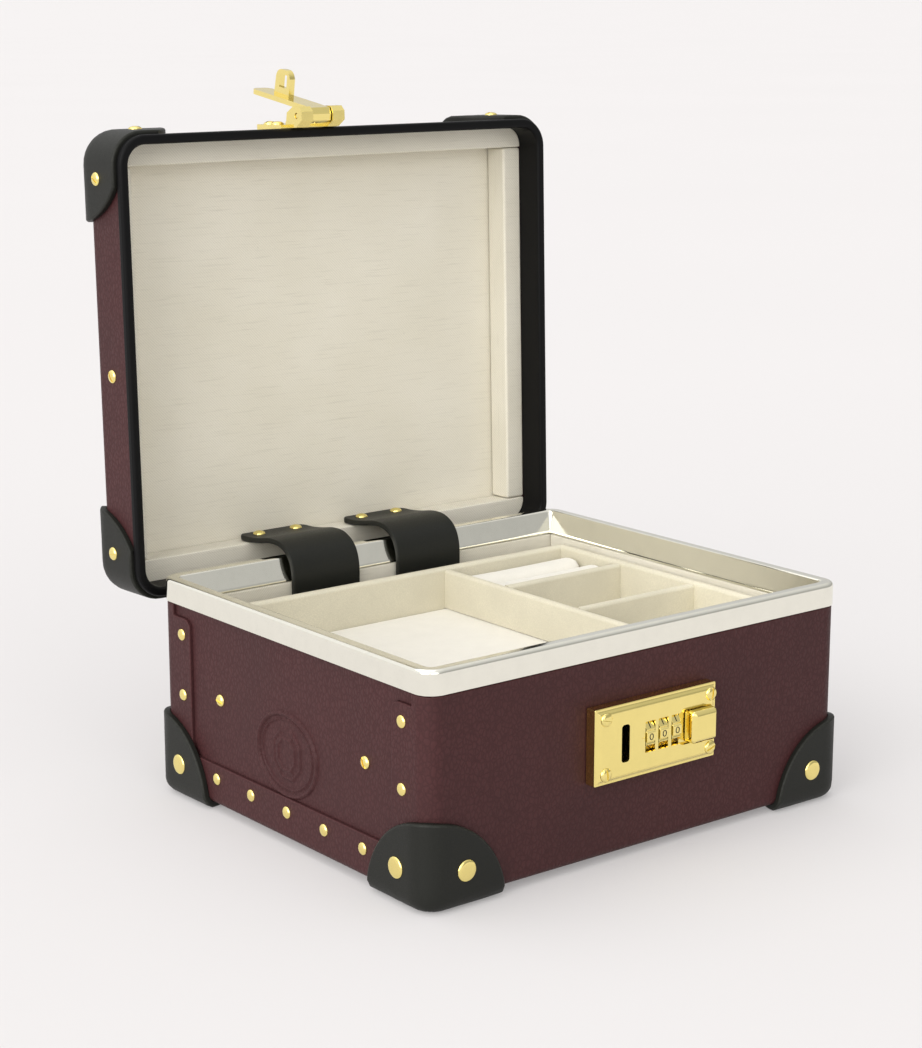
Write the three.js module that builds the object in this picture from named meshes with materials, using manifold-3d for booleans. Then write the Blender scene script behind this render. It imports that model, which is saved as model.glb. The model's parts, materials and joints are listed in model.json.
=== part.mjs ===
// Leather jewellery case: a fibre base with a metal rim, a lift-out tray, a combination lock,
// and a lid on two butt hinges, held by two leather straps.
// Millimetres. While it is built, x runs to the right from the middle of the case, y runs back
// from the base's front face and z runs up from the underside of its shell.
import * as THREE from 'three';
import { mergeVertices } from 'three/addons/utils/BufferGeometryUtils.js';
import Module from 'manifold-3d';

const wasm = await Module();
wasm.setup();

// ---------------------------------------------------------------- driving dimensions
const CASE_WIDTH = 200;
const CASE_DEPTH = 170;
const SHELL_HEIGHT = 74.5;
const CORNER_RADIUS = 7;
const EDGE_RADIUS = 3;
const FIBRE = 2.2;
const GAP = 0.3;
const HALF = CASE_WIDTH / 2;

const RIM_HEIGHT = 9.2;
const RIM_PROUD = 0.4;
const RIM_BASE = SHELL_HEIGHT + GAP;
const RIM_TOP = RIM_BASE + RIM_HEIGHT;
const RIM_LAND = 4.4;
const RIM_BEAD = 1.7;

const INNER_HALF = 91.5;
const INNER_FRONT = 8.5;
const INNER_BACK = CASE_DEPTH - 8.5;
const FLOOR_TOP = 5.2;

const FLAP = 20.5;
const BOTTOM_FLAP = 16.5;
const FLAP_TOP = SHELL_HEIGHT - 4.5;
const FLAP_CORNER = 4;

const LEATHER = 2.4;
const LEATHER_REACH = 31;

// The tray
const TRAY_HALF = 89;
const TRAY_FRONT = 11;
const TRAY_BACK = 150;
const TRAY_TOP = 73;
const TRAY_WALL = 4;
const TRAY_DEPTH = 18.4;
const TRAY_FLOOR = 3;
const TRAY_CORNER = 3;
const TRAY_BASE = TRAY_TOP - TRAY_DEPTH - TRAY_FLOOR;
const TRAY_PAD = 0.8;
const DIVIDER = 3.4;
const DIVIDER_DROP = 0.8;
const LONG_DIVIDER_X = 23;
const CROSS_DIVIDERS_Y = [66, 110];
const ROLL_DROP = 2.4;
const ROLL_PARTING = 1.2;
const LEDGE_WIDTH = 7;
const LEDGE_HEIGHT = 7;

// The lid, first laid out shut and then turned open about the hinge
const LID_REST_ANGLE = 91.5;
const LID_DEPTH = 28;
const LID_LOW = 72.3;
const LID_HIGH = LID_LOW + LID_DEPTH;
const LID_OVERHANG = 3.6;
const LID_CORNER = CORNER_RADIUS + LID_OVERHANG;
const LID_WALL = 1.6;
const LID_TOP_WALL = 2;
const TRIM_PROUD = 1.1;
const TRIM_SKIN = 0.8;
const TRIM_LIP = 2.4;
const TRIM_FLANGE = 3.2;
const TRIM_BAND = 12.7;
const LID_BOARD = 9.4;
const LID_PANEL = 1.2;
const LID_LINING = TRIM_BAND + GAP;

// Hinges and straps
const HINGE_Y = CASE_DEPTH + 6.6;
const HINGE_Z = 70.9;
const HINGE_SPREAD = 54;
const BARREL_RADIUS = 1.7;
const PIN_RADIUS = 0.8;
const HINGE_HALF = 16;
const HINGE_PLATE = 1.2;
const HINGE_FOOT = 50;
const STRAP_WIDTH = 32.5;
const STRAP_THICK = 2.2;
const STRAP_CENTRES = [-29, 23];
// A strap's route in y and z, from the lid's lower board over the rim and down behind the tray
const STRAP_ROUTE = [
  [199.5, 86.1],
  [191.5, 86.3],
  [184, 87.2],
  [176, 88.6],
  [168.5, 88.2],
  [162.4, 84.6],
  [159.6, 78],
  [159.4, 68],
  [159.4, 56],
];

// The lock on the base's front and the hasp on the lid's front
const LOCK_HALF = 29.5;
const LOCK_Z = 44;
const LOCK_HEIGHT = 28.5;
const LOCK_FACE = -6;
const LOCK_STEP = 1.4;
const SLOT_X = -15.6;
const SLOT_WIDTH = 3.8;
const SLOT_LOW = 36.7;
const SLOT_HIGH = 50.7;
const WHEEL_PITCH = 6.4;
const WHEEL_X = 2.7;
const WHEEL_RADIUS = 7.4;
const WHEEL_WIDTH = 4.2;
const WHEEL_Y = 0.4;
const WINDOW_HALF = 5.8;
const AXLE_RADIUS = 1.2;
const BUTTON_SIZE = 12.4;
const BUTTON_X = 20.4;
const BUTTON_FACE = -10.2;
const BUTTON_TRAVEL = 3;
const STEM_HALF_X = 3;
const STEM_HALF_Z = 2.5;
const SCOOP_DEPTH = 1.4;
const BUTTON_CLEAR = 0.4;
const CASE_HALF = 25.5;
const CASE_TALL = 11.5;
const CASE_SHEET = 1;
const SCREW_RADIUS = 2.6;
const SCREW_CROWN = 1.2;
const SCREWS_X = [-24.9, 26.3];
const SCREW_SPREAD = 10.25;
const HASP_Y = -9.6;
const HASP_Z = 69.3;
const HASP_REST_ANGLE = 170;
const LEAF_REACH = 42;
const LEAF_HALF = 4.6;
const LEAF_THICK = 2;
const STAPLE_REACH = 10.5;
const STAPLE_HALF = 1.3;
const EYE = 5.2;
const ARM_WIDTH = 5.6;
const BARREL_HALF = 4.5;
const BRACKET_HALF = 13.5;
const BRACKET_HEIGHT = 17;

// The middle of the open case from front to back, which the finished part is centred on
const BOX_MIDDLE_Y = 105.8;

// ---------------------------------------------------------------- finishes
const finish = (color, roughness, metalness) =>
  new THREE.MeshStandardMaterial({ color, roughness, metalness });
const burgundy = () => finish(0x452b2e, 0.5, 0);
const blackLeather = () => finish(0x23231f, 0.45, 0);
const creamLeather = () => finish(0xd7d0b9, 0.6, 0);
const linen = () => finish(0xdcd6c6, 0.9, 0);
const suede = () => finish(0xe6e2d8, 0.95, 0);
const nickel = () => finish(0xefede0, 0.12, 1);
const brass = () => finish(0xe6c86e, 0.15, 1);

// ---------------------------------------------------------------- shape helpers
// An extruded or turned geometry as a solid, ready to be joined or cut.
function solid(geometry) {
  const bare = geometry.clone();
  bare.deleteAttribute('normal');
  bare.deleteAttribute('uv');
  const merged = mergeVertices(bare, 1e-4);
  const vertProperties = new Float32Array(merged.attributes.position.array);
  const triVerts = new Uint32Array(merged.index.array);
  return new wasm.Manifold(new wasm.Mesh({ numProp: 3, vertProperties, triVerts }));
}

function geometryOf(body) {
  const mesh = body.getMesh();
  const geometry = new THREE.BufferGeometry();
  geometry.setAttribute('position', new THREE.BufferAttribute(mesh.vertProperties, 3));
  geometry.setIndex(new THREE.BufferAttribute(mesh.triVerts, 1));
  geometry.computeVertexNormals();
  return geometry;
}

const cut = (first, ...others) => others.reduce((body, other) => body.subtract(other), first);
const join = (first, ...others) => others.reduce((body, other) => body.add(other), first);

function boxGeometry([x0, x1], [y0, y1], [z0, z1]) {
  const geometry = new THREE.BoxGeometry(x1 - x0, y1 - y0, z1 - z0);
  return geometry.translate((x0 + x1) / 2, (y0 + y1) / 2, (z0 + z1) / 2);
}

const boxSolid = (...ranges) => solid(boxGeometry(...ranges));

// The two ends of a range, from its middle and half its length.
const about = (middle, half) => [middle - half, middle + half];

// A rectangle with round corners in a plane.
function roundedShape([u0, u1], [v0, v1], radius) {
  const shape = new THREE.Shape();
  shape.moveTo(u0 + radius, v0);
  shape.lineTo(u1 - radius, v0);
  shape.absarc(u1 - radius, v0 + radius, radius, -Math.PI / 2, 0);
  shape.lineTo(u1, v1 - radius);
  shape.absarc(u1 - radius, v1 - radius, radius, 0, Math.PI / 2);
  shape.lineTo(u0 + radius, v1);
  shape.absarc(u0 + radius, v1 - radius, radius, Math.PI / 2, Math.PI);
  shape.lineTo(u0, v0 + radius);
  shape.absarc(u0 + radius, v0 + radius, radius, Math.PI, 1.5 * Math.PI);
  return shape;
}

// A shape drawn in x and y, raised along z.
function extrudeZ(shape, [z0, z1], curveSegments = 5) {
  const settings = { depth: z1 - z0, bevelEnabled: false, curveSegments };
  return new THREE.ExtrudeGeometry(shape, settings).translate(0, 0, z0);
}

// A shape drawn in y and z, drawn out along x.
function extrudeX(shape, [x0, x1], curveSegments = 5) {
  const geometry = extrudeZ(shape, [x0, x1], curveSegments);
  const turn = new THREE.Matrix4().makeBasis(
    new THREE.Vector3(0, 1, 0),
    new THREE.Vector3(0, 0, 1),
    new THREE.Vector3(1, 0, 0),
  );
  return geometry.applyMatrix4(turn);
}

// A shape drawn in x and z, drawn out along y.
function extrudeY(shape, [y0, y1], curveSegments = 5) {
  const geometry = extrudeZ(shape, [-y1, -y0], curveSegments);
  return geometry.rotateX(Math.PI / 2);
}

// A round bar along x.
function barX(radius, [x0, x1], y, z, sides = 16) {
  const geometry = new THREE.CylinderGeometry(radius, radius, x1 - x0, sides);
  return geometry.rotateZ(-Math.PI / 2).translate((x0 + x1) / 2, y, z);
}

// A block the plan of the case, grown outwards, with its lower edges rounded.
function caseBlock(grow, high) {
  const shape = roundedShape(
    [-HALF - grow, HALF + grow],
    [-grow, CASE_DEPTH + grow],
    CORNER_RADIUS + grow,
  );
  const edge = Math.max(EDGE_RADIUS + grow, 0.5);
  return softBlock(shape, edge, -grow, high);
}

// The same for the lid, with its upper edges rounded.
function lidBlock(grow, low) {
  const out = LID_OVERHANG + grow;
  const shape = roundedShape(
    [-HALF - out, HALF + out],
    [-out, CASE_DEPTH + out],
    LID_CORNER + grow,
  );
  const edge = Math.max(EDGE_RADIUS + 2 + grow, 0.5);
  const mirrored = softBlock(shape, edge, -LID_HIGH - grow, -low);
  return mirrored.mirror([0, 0, 1]);
}

function softBlock(shape, edge, low, high) {
  const settings = {
    depth: high - low,
    bevelEnabled: true,
    bevelThickness: edge,
    bevelSize: edge,
    bevelOffset: -edge,
    bevelSegments: 3,
    curveSegments: 6,
  };
  const geometry = new THREE.ExtrudeGeometry(shape, settings).translate(0, 0, low + edge);
  const keep = boxSolid([-200, 200], [-100, 300], [low - 1, high]);
  return solid(geometry).intersect(keep);
}

// ---------------------------------------------------------------- the tree
const caseGroup = new THREE.Group();
const lidGroup = new THREE.Group();
const haspGroup = new THREE.Group();

function place(parent, name, geometry, material) {
  const mesh = new THREE.Mesh(geometry, material);
  mesh.name = name;
  parent.add(mesh);
  return mesh;
}

const placeSolid = (parent, name, body, material) =>
  place(parent, name, geometryOf(body), material);

// ---------------------------------------------------------------- base
const WALL_INSIDE = HALF - FIBRE;
const END_INSIDE = WALL_INSIDE - GAP - 2;

function buildBase() {
  const inside = roundedShape(
    [-WALL_INSIDE, WALL_INSIDE],
    [FIBRE, CASE_DEPTH - FIBRE],
    CORNER_RADIUS - FIBRE,
  );
  const hollow = solid(extrudeZ(inside, [FIBRE, SHELL_HEIGHT + 1]));
  const windowShape = new THREE.Shape();
  const flapBack = CASE_DEPTH - FLAP;
  const strip = [CORNER_RADIUS - 1, CASE_DEPTH - CORNER_RADIUS + 1];
  const bendZ = FLAP_TOP - FLAP_CORNER;
  const backBendY = flapBack + FLAP_CORNER;
  const frontBendY = FLAP - FLAP_CORNER;
  windowShape.moveTo(FLAP, BOTTOM_FLAP);
  windowShape.lineTo(flapBack, BOTTOM_FLAP);
  windowShape.lineTo(flapBack, bendZ);
  windowShape.absarc(backBendY, bendZ, FLAP_CORNER, Math.PI, Math.PI / 2, true);
  windowShape.lineTo(strip[1], FLAP_TOP);
  windowShape.lineTo(strip[1], SHELL_HEIGHT + 1);
  windowShape.lineTo(strip[0], SHELL_HEIGHT + 1);
  windowShape.lineTo(strip[0], FLAP_TOP);
  windowShape.lineTo(frontBendY, FLAP_TOP);
  windowShape.absarc(frontBendY, bendZ, FLAP_CORNER, Math.PI / 2, 0, true);
  windowShape.lineTo(FLAP, BOTTOM_FLAP);
  const windows = solid(extrudeX(windowShape, [-HALF - 5, HALF + 5]));
  const wrap = cut(caseBlock(0, SHELL_HEIGHT), hollow, windows, lockOpening(GAP));
  placeSolid(caseGroup, 'base_wrap', wrap, burgundy());

  for (const [side, name] of [[-1, 'base_end_left'], [1, 'base_end_right']]) {
    const xs = [side * (WALL_INSIDE - GAP), side * END_INSIDE].sort((a, b) => a - b);
    const ys = [CORNER_RADIUS - 1, CASE_DEPTH - CORNER_RADIUS + 1];
    place(caseGroup, name, boxGeometry(xs, ys, [FIBRE + GAP, SHELL_HEIGHT]), burgundy());
  }

  const boardLow = FIBRE + GAP;
  const floorFront = FIBRE + GAP;
  const floorBack = CASE_DEPTH - FIBRE - GAP;
  const boardHalf = END_INSIDE - GAP;
  const plan = roundedShape(
    [-boardHalf, boardHalf],
    [floorFront, floorBack],
    CORNER_RADIUS - FIBRE,
  );
  const inBoards = (z0, z1) => solid(extrudeZ(plan, [z0, z1]));
  placeSolid(caseGroup, 'base_floor', inBoards(boardLow, FLOOR_TOP), linen());
  const rise = [FLOOR_TOP + GAP, SHELL_HEIGHT];
  const tall = [0, SHELL_HEIGHT + 1];
  const wall = (xs, ys) => inBoards(...rise).intersect(boxSolid(xs, ys, tall));
  const front = cut(wall([-HALF, HALF], [0, INNER_FRONT]), lockOpening(GAP));
  placeSolid(caseGroup, 'base_liner_front', front, linen());
  const back = wall([-HALF, HALF], [INNER_BACK, CASE_DEPTH]);
  placeSolid(caseGroup, 'base_liner_back', back, linen());
  const between = [INNER_FRONT + GAP, INNER_BACK - GAP];
  placeSolid(caseGroup, 'base_liner_left', wall([-HALF, -INNER_HALF], between), linen());
  placeSolid(caseGroup, 'base_liner_right', wall([INNER_HALF, HALF], between), linen());
}

// The window through the front wall that the lock's case stands in.
function lockOpening(clear) {
  const xs = [-CASE_HALF - clear, CASE_HALF + clear];
  const zs = [LOCK_Z - CASE_TALL - clear, LOCK_Z + CASE_TALL + clear];
  return boxSolid(xs, [-5, INNER_FRONT + 5], zs);
}

// The polished rim: a ring whose inner face leans in towards the liner.
function buildRim() {
  const out = HALF + RIM_PROUD;
  const ring = (grow, zs) => {
    const plan = roundedShape(
      [-out - grow, out + grow],
      [-RIM_PROUD - grow, CASE_DEPTH + RIM_PROUD + grow],
      Math.max(CORNER_RADIUS + RIM_PROUD + grow, 1),
    );
    return solid(extrudeZ(plan, zs));
  };
  const steps = [
    [-RIM_BEAD, RIM_TOP],
    [-RIM_BEAD * 0.3, RIM_TOP - RIM_BEAD * 0.3],
    [0, RIM_TOP - RIM_BEAD],
  ];
  const outer = join(...steps.map(([grow, high]) => ring(grow, [RIM_BASE, high])));
  const throat = out - INNER_HALF;
  const slopes = 4;
  let opening = ring(-throat, [RIM_BASE - 1, RIM_TOP + 1]);
  for (let step = 1; step <= slopes; step += 1) {
    const share = step / slopes;
    const grow = -throat + share * (throat - RIM_LAND);
    const low = RIM_BASE + 1 + share * (RIM_HEIGHT - 2.2);
    opening = opening.add(ring(grow, [low, RIM_TOP + 1]));
  }
  placeSolid(caseGroup, 'rim', cut(outer, opening), nickel());
}

// Leather corners, each bent round three faces of its own corner.
function leatherCorner(outer, inner, corner) {
  const ball = new THREE.SphereGeometry(LEATHER_REACH, 24, 16).translate(...corner);
  return outer.subtract(inner).intersect(solid(ball));
}

const CORNERS = [
  ['front_left', -1, 0],
  ['front_right', 1, 0],
  ['back_left', -1, 1],
  ['back_right', 1, 1],
];

function buildBaseCorners() {
  for (const [name, side, atBack] of CORNERS) {
    const corner = [side * HALF, atBack * CASE_DEPTH, 0];
    const outer = caseBlock(LEATHER + GAP, SHELL_HEIGHT / 2);
    const body = leatherCorner(outer, caseBlock(GAP, SHELL_HEIGHT / 2 + 1), corner);
    placeSolid(caseGroup, `base_corner_${name}`, body, blackLeather());
  }
}

// ---------------------------------------------------------------- tray
function buildTray() {
  const tray = new THREE.Group();
  caseGroup.add(tray);
  const inside = [-TRAY_HALF + TRAY_WALL, TRAY_HALF - TRAY_WALL];
  const front = TRAY_FRONT + TRAY_WALL;
  const back = TRAY_BACK - TRAY_WALL;
  const floor = TRAY_BASE + TRAY_FLOOR;
  const trayShape = roundedShape([-TRAY_HALF, TRAY_HALF], [TRAY_FRONT, TRAY_BACK], TRAY_CORNER);
  const body = cut(
    solid(extrudeZ(trayShape, [TRAY_BASE, TRAY_TOP], 3)),
    boxSolid(inside, [front, back], [floor, TRAY_TOP + 1]),
  );
  placeSolid(tray, 'tray_body', body, creamLeather());

  const dividerZ = [floor + TRAY_PAD + 2 * GAP, TRAY_TOP - DIVIDER_DROP];
  const longX = [LONG_DIVIDER_X - DIVIDER / 2, LONG_DIVIDER_X + DIVIDER / 2];
  const longBox = boxGeometry(longX, [front + GAP, back - GAP], dividerZ);
  place(tray, 'tray_divider_long', longBox, creamLeather());
  const crossX = [longX[1] + GAP, inside[1] - GAP];
  CROSS_DIVIDERS_Y.forEach((y, index) => {
    const crossBox = boxGeometry(crossX, [y - DIVIDER / 2, y + DIVIDER / 2], dividerZ);
    place(tray, `tray_divider_cross_${index + 1}`, crossBox, creamLeather());
  });
  const padX = [inside[0] + GAP, inside[1] - GAP];
  const padZ = [floor + GAP, floor + GAP + TRAY_PAD];
  const padBox = boxGeometry(padX, [front + GAP, back - GAP], padZ);
  place(tray, 'tray_floor_pad', padBox, suede());

  // Two padded rolls that hold rings between them, behind the second cross divider.
  const rollFront = CROSS_DIVIDERS_Y[1] + DIVIDER / 2 + 1;
  const rollDepth = (back - 1 - rollFront) / 2;
  for (const index of [0, 1]) {
    const y0 = rollFront + index * rollDepth + ROLL_PARTING / 2;
    const y1 = y0 + rollDepth - ROLL_PARTING;
    const low = dividerZ[0];
    const crown = (y1 - y0) / 2;
    const crownZ = TRAY_TOP - ROLL_DROP - crown;
    const shape = new THREE.Shape();
    shape.moveTo(y0, low);
    shape.lineTo(y1, low);
    shape.lineTo(y1, crownZ);
    shape.absarc((y0 + y1) / 2, crownZ, crown, 0, Math.PI);
    const roll = extrudeX(shape, [crossX[0] + 1, crossX[1] - 1], 8);
    place(tray, `ring_roll_${index + 1}`, roll, suede());
  }

  // Ledges on the base's side liners that the tray rests on.
  for (const [side, name] of [[-1, 'tray_ledge_left'], [1, 'tray_ledge_right']]) {
    const outerX = side * (INNER_HALF - GAP);
    const xs = [outerX, outerX - side * LEDGE_WIDTH].sort((a, b) => a - b);
    const zs = [TRAY_BASE - GAP - LEDGE_HEIGHT, TRAY_BASE - GAP];
    place(caseGroup, name, boxGeometry(xs, [INNER_FRONT + 6, INNER_BACK - 14], zs), linen());
  }
}

// ---------------------------------------------------------------- lock
const LOCK_LOW = LOCK_Z - LOCK_HEIGHT / 2;
const LOCK_HIGH = LOCK_Z + LOCK_HEIGHT / 2;
const BUTTON_LOW = LOCK_Z - BUTTON_SIZE / 2;
const BUTTON_HIGH = LOCK_Z + BUTTON_SIZE / 2;
const CASE_BACK = INNER_FRONT - 0.4;
const RAIL_LOW = LOCK_Z + 8.3;
const RAIL_HIGH = LOCK_Z + 10.1;
const wheelCentres = [-1, 0, 1].map((step) => WHEEL_X + step * WHEEL_PITCH);

function buildLock() {
  const plateShape = roundedShape([-LOCK_HALF, LOCK_HALF], [LOCK_LOW, LOCK_HIGH], 0.8);
  const faceShape = roundedShape(
    [-LOCK_HALF + LOCK_STEP, LOCK_HALF - LOCK_STEP],
    [LOCK_LOW + LOCK_STEP, LOCK_HIGH - LOCK_STEP],
    0.8,
  );
  const slotSides = [SLOT_X - SLOT_WIDTH / 2, SLOT_X + SLOT_WIDTH / 2];
  const slotShape = roundedShape(slotSides, [SLOT_LOW, SLOT_HIGH], SLOT_WIDTH / 2 - 0.1);
  const windowHalf = WHEEL_WIDTH / 2 + GAP;
  const windows = wheelCentres.flatMap((x) => [
    boxSolid([x - windowHalf, x + windowHalf], [-9, -3], about(LOCK_Z, WINDOW_HALF)),
    boxSolid([x - windowHalf, x + windowHalf], [-4.6, 3], about(LOCK_Z, WHEEL_RADIUS + 0.4)),
  ]);
  const stemSlot = boxSolid(
    [BUTTON_X - STEM_HALF_X - BUTTON_TRAVEL - GAP, BUTTON_X + STEM_HALF_X + GAP],
    [-9, 3],
    about(LOCK_Z, STEM_HALF_Z + GAP),
  );
  const scoopLeft = BUTTON_X - BUTTON_SIZE / 2 - BUTTON_TRAVEL - BUTTON_CLEAR;
  const scoop = boxSolid(
    [scoopLeft, BUTTON_X + BUTTON_SIZE / 2 + BUTTON_CLEAR],
    [LOCK_FACE - 1, LOCK_FACE + SCOOP_DEPTH],
    [BUTTON_LOW - BUTTON_CLEAR, BUTTON_HIGH + BUTTON_CLEAR],
  );
  const axleGroove = boxSolid(
    [WHEEL_X - 12, WHEEL_X + 12],
    [WHEEL_Y - AXLE_RADIUS - GAP, 3],
    about(LOCK_Z, AXLE_RADIUS + GAP),
  );
  const plate = cut(
    join(
      solid(extrudeY(plateShape, [LOCK_FACE + 1, -GAP], 2)),
      solid(extrudeY(faceShape, [LOCK_FACE, -GAP], 2)),
    ),
    solid(extrudeY(slotShape, [-9, 3], 4)),
    ...windows,
    stemSlot,
    scoop,
    axleGroove,
  );
  placeSolid(caseGroup, 'lock_plate', plate, brass());

  // A pressed sheet box behind the plate, with two ribs that hold the wheels' axle.
  const caseZ = about(LOCK_Z, CASE_TALL);
  const ribLeft = wheelCentres[0] - WHEEL_WIDTH / 2 - 2.4;
  const ribRight = wheelCentres[2] + WHEEL_WIDTH / 2 + 1;
  const ribZ = [LOCK_Z - 10, LOCK_Z + 7.9];
  const ribs = [ribLeft, ribRight].map((x) => boxSolid([x, x + 1.2], [0.4, CASE_BACK], ribZ));
  const sheetBox = cut(
    boxSolid([-CASE_HALF, CASE_HALF], [0, CASE_BACK], caseZ),
    boxSolid(
      [-CASE_HALF + CASE_SHEET, CASE_HALF - CASE_SHEET],
      [-1, CASE_BACK - 0.3],
      [caseZ[0] + CASE_SHEET, caseZ[1] - CASE_SHEET],
    ),
  );
  const axleHole = barX(AXLE_RADIUS + 0.1, about(0, CASE_HALF - 3), WHEEL_Y, LOCK_Z);
  const housing = cut(join(sheetBox, ...ribs), solid(axleHole));
  placeSolid(caseGroup, 'lock_housing', housing, brass());
  const axleRange = [ribLeft, ribRight + 2.2];
  place(caseGroup, 'lock_axle', barX(AXLE_RADIUS, axleRange, WHEEL_Y, LOCK_Z), nickel());
  wheelCentres.forEach((x, index) => {
    const xs = [x - WHEEL_WIDTH / 2, x + WHEEL_WIDTH / 2];
    const wheel = cut(
      solid(barX(WHEEL_RADIUS, xs, WHEEL_Y, LOCK_Z, 30)),
      solid(barX(AXLE_RADIUS + 0.3, [xs[0] - 1, xs[1] + 1], WHEEL_Y, LOCK_Z)),
    );
    placeSolid(caseGroup, `lock_wheel_${index + 1}`, wheel, brass());
  });

  // The button carries a stem through the plate, a rail behind it and the bolt for the staple.
  const head = roundedShape(
    [BUTTON_X - BUTTON_SIZE / 2, BUTTON_X + BUTTON_SIZE / 2],
    [BUTTON_LOW, BUTTON_HIGH],
    1.6,
  );
  const button = join(
    solid(extrudeY(head, [BUTTON_FACE, LOCK_FACE + 1.1], 3)),
    boxSolid(about(BUTTON_X, STEM_HALF_X), [LOCK_FACE + 1, 1.4], about(LOCK_Z, STEM_HALF_Z)),
  );
  placeSolid(caseGroup, 'lock_button', button, brass());
  const boltTip = SLOT_X + SLOT_WIDTH / 2 + BUTTON_CLEAR;
  const armX = [boltTip + 2.3, boltTip + 4.7];
  const boltLow = LOCK_Z - 0.8;
  const railY = [2.2, 4.2];
  const tailX = about(BUTTON_X, STEM_HALF_X - 0.4);
  const bolt = join(
    boxSolid([boltTip, armX[1]], [0.4, 1.9], [boltLow, LOCK_Z + 2.4]),
    boxSolid(armX, [0.4, railY[1]], [boltLow, RAIL_HIGH]),
    boxSolid([armX[0], tailX[1]], railY, [RAIL_LOW, RAIL_HIGH]),
    boxSolid(tailX, railY, [LOCK_Z - STEM_HALF_Z, RAIL_HIGH]),
  );
  placeSolid(caseGroup, 'lock_bolt', bolt, brass());

  let number = 0;
  for (const x of SCREWS_X) {
    for (const z of about(LOCK_Z, SCREW_SPREAD)) {
      number += 1;
      place(caseGroup, `lock_screw_${number}`, screwHead(x, LOCK_FACE - GAP, z), brass());
    }
  }
}

// A low domed head, facing forwards.
function screwHead(x, y, z) {
  const profile = [new THREE.Vector2(0, 0), new THREE.Vector2(SCREW_RADIUS, 0)];
  const steps = 4;
  for (let step = 1; step < steps; step += 1) {
    const angle = (step / steps) * (Math.PI / 2);
    profile.push(new THREE.Vector2(SCREW_RADIUS * Math.cos(angle), SCREW_CROWN * Math.sin(angle)));
  }
  profile.push(new THREE.Vector2(0, SCREW_CROWN));
  return new THREE.LatheGeometry(profile, 14).rotateX(Math.PI).translate(x, y, z);
}

// ---------------------------------------------------------------- lid
function lidOutline(grow) {
  const out = LID_OVERHANG + grow;
  return roundedShape([-HALF - out, HALF + out], [-out, CASE_DEPTH + out], LID_CORNER + grow);
}

function buildLid() {
  const wallFoot = LID_LOW + TRIM_LIP + GAP;
  const hollow = solid(extrudeZ(lidOutline(-LID_WALL), [LID_LOW - 1, LID_HIGH - LID_TOP_WALL]));
  const shell = cut(lidBlock(0, wallFoot), hollow);
  placeSolid(lidGroup, 'lid_shell', shell, burgundy());

  // The binding strip: a lip over the wall's edge, a flange outside and a deep band inside.
  const ring = (outGrow, inGrow, [low, high]) =>
    cut(
      solid(extrudeZ(lidOutline(outGrow), [low, high])),
      solid(extrudeZ(lidOutline(inGrow), [low - 1, high + 1])),
    );
  const innerFace = -LID_WALL - GAP - TRIM_SKIN;
  const trim = join(
    ring(TRIM_PROUD, innerFace, [LID_LOW, LID_LOW + TRIM_LIP]),
    ring(TRIM_PROUD, GAP, [LID_LOW, LID_LOW + TRIM_FLANGE]),
    ring(-LID_WALL - GAP, innerFace, [LID_LOW, LID_LOW + TRIM_BAND]),
  );
  placeSolid(lidGroup, 'lid_trim', trim, blackLeather());

  // Four covered boards and a panel line the lid behind the band.
  const low = LID_LOW + LID_LINING;
  const high = LID_HIGH - LID_TOP_WALL - GAP;
  const panelLow = high - LID_PANEL;
  const within = solid(extrudeZ(lidOutline(-LID_WALL - GAP), [low, panelLow - GAP]));
  const edge = LID_OVERHANG - LID_WALL - GAP;
  const boardX = HALF + edge - LID_BOARD;
  const boardFront = -edge + LID_BOARD;
  const boardBack = CASE_DEPTH + edge - LID_BOARD;
  const board = (xs, ys) => within.intersect(boxSolid(xs, ys, [low - 1, high]));
  const far = CASE_WIDTH + CASE_DEPTH;
  placeSolid(lidGroup, 'lid_liner_front', board([-far, far], [-far, boardFront]), linen());
  placeSolid(lidGroup, 'lid_liner_back', board([-far, far], [boardBack, far]), linen());
  const between = [boardFront + GAP, boardBack - GAP];
  placeSolid(lidGroup, 'lid_liner_left', board([-far, -boardX], between), linen());
  placeSolid(lidGroup, 'lid_liner_right', board([boardX, far], between), linen());
  const panelPlan = lidOutline(-LID_WALL - GAP);
  place(lidGroup, 'lid_panel', extrudeZ(panelPlan, [panelLow, high]), linen());

  const cornerFoot = LID_LOW + TRIM_FLANGE + GAP;
  for (const [name, side, atBack] of CORNERS) {
    const corner = [
      side * (HALF + LID_OVERHANG),
      atBack ? CASE_DEPTH + LID_OVERHANG : -LID_OVERHANG,
      LID_HIGH,
    ];
    const outer = lidBlock(LEATHER + GAP, cornerFoot);
    const body = leatherCorner(outer, lidBlock(GAP, cornerFoot - 1), corner);
    placeSolid(lidGroup, `lid_corner_${name}`, body, blackLeather());
  }
}

// ---------------------------------------------------------------- hinges
function hingeKnuckle(xs) {
  return cut(
    solid(barX(BARREL_RADIUS, xs, HINGE_Y, HINGE_Z)),
    solid(barX(PIN_RADIUS + 0.1, [xs[0] - 1, xs[1] + 1], HINGE_Y, HINGE_Z, 12)),
  );
}

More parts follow.
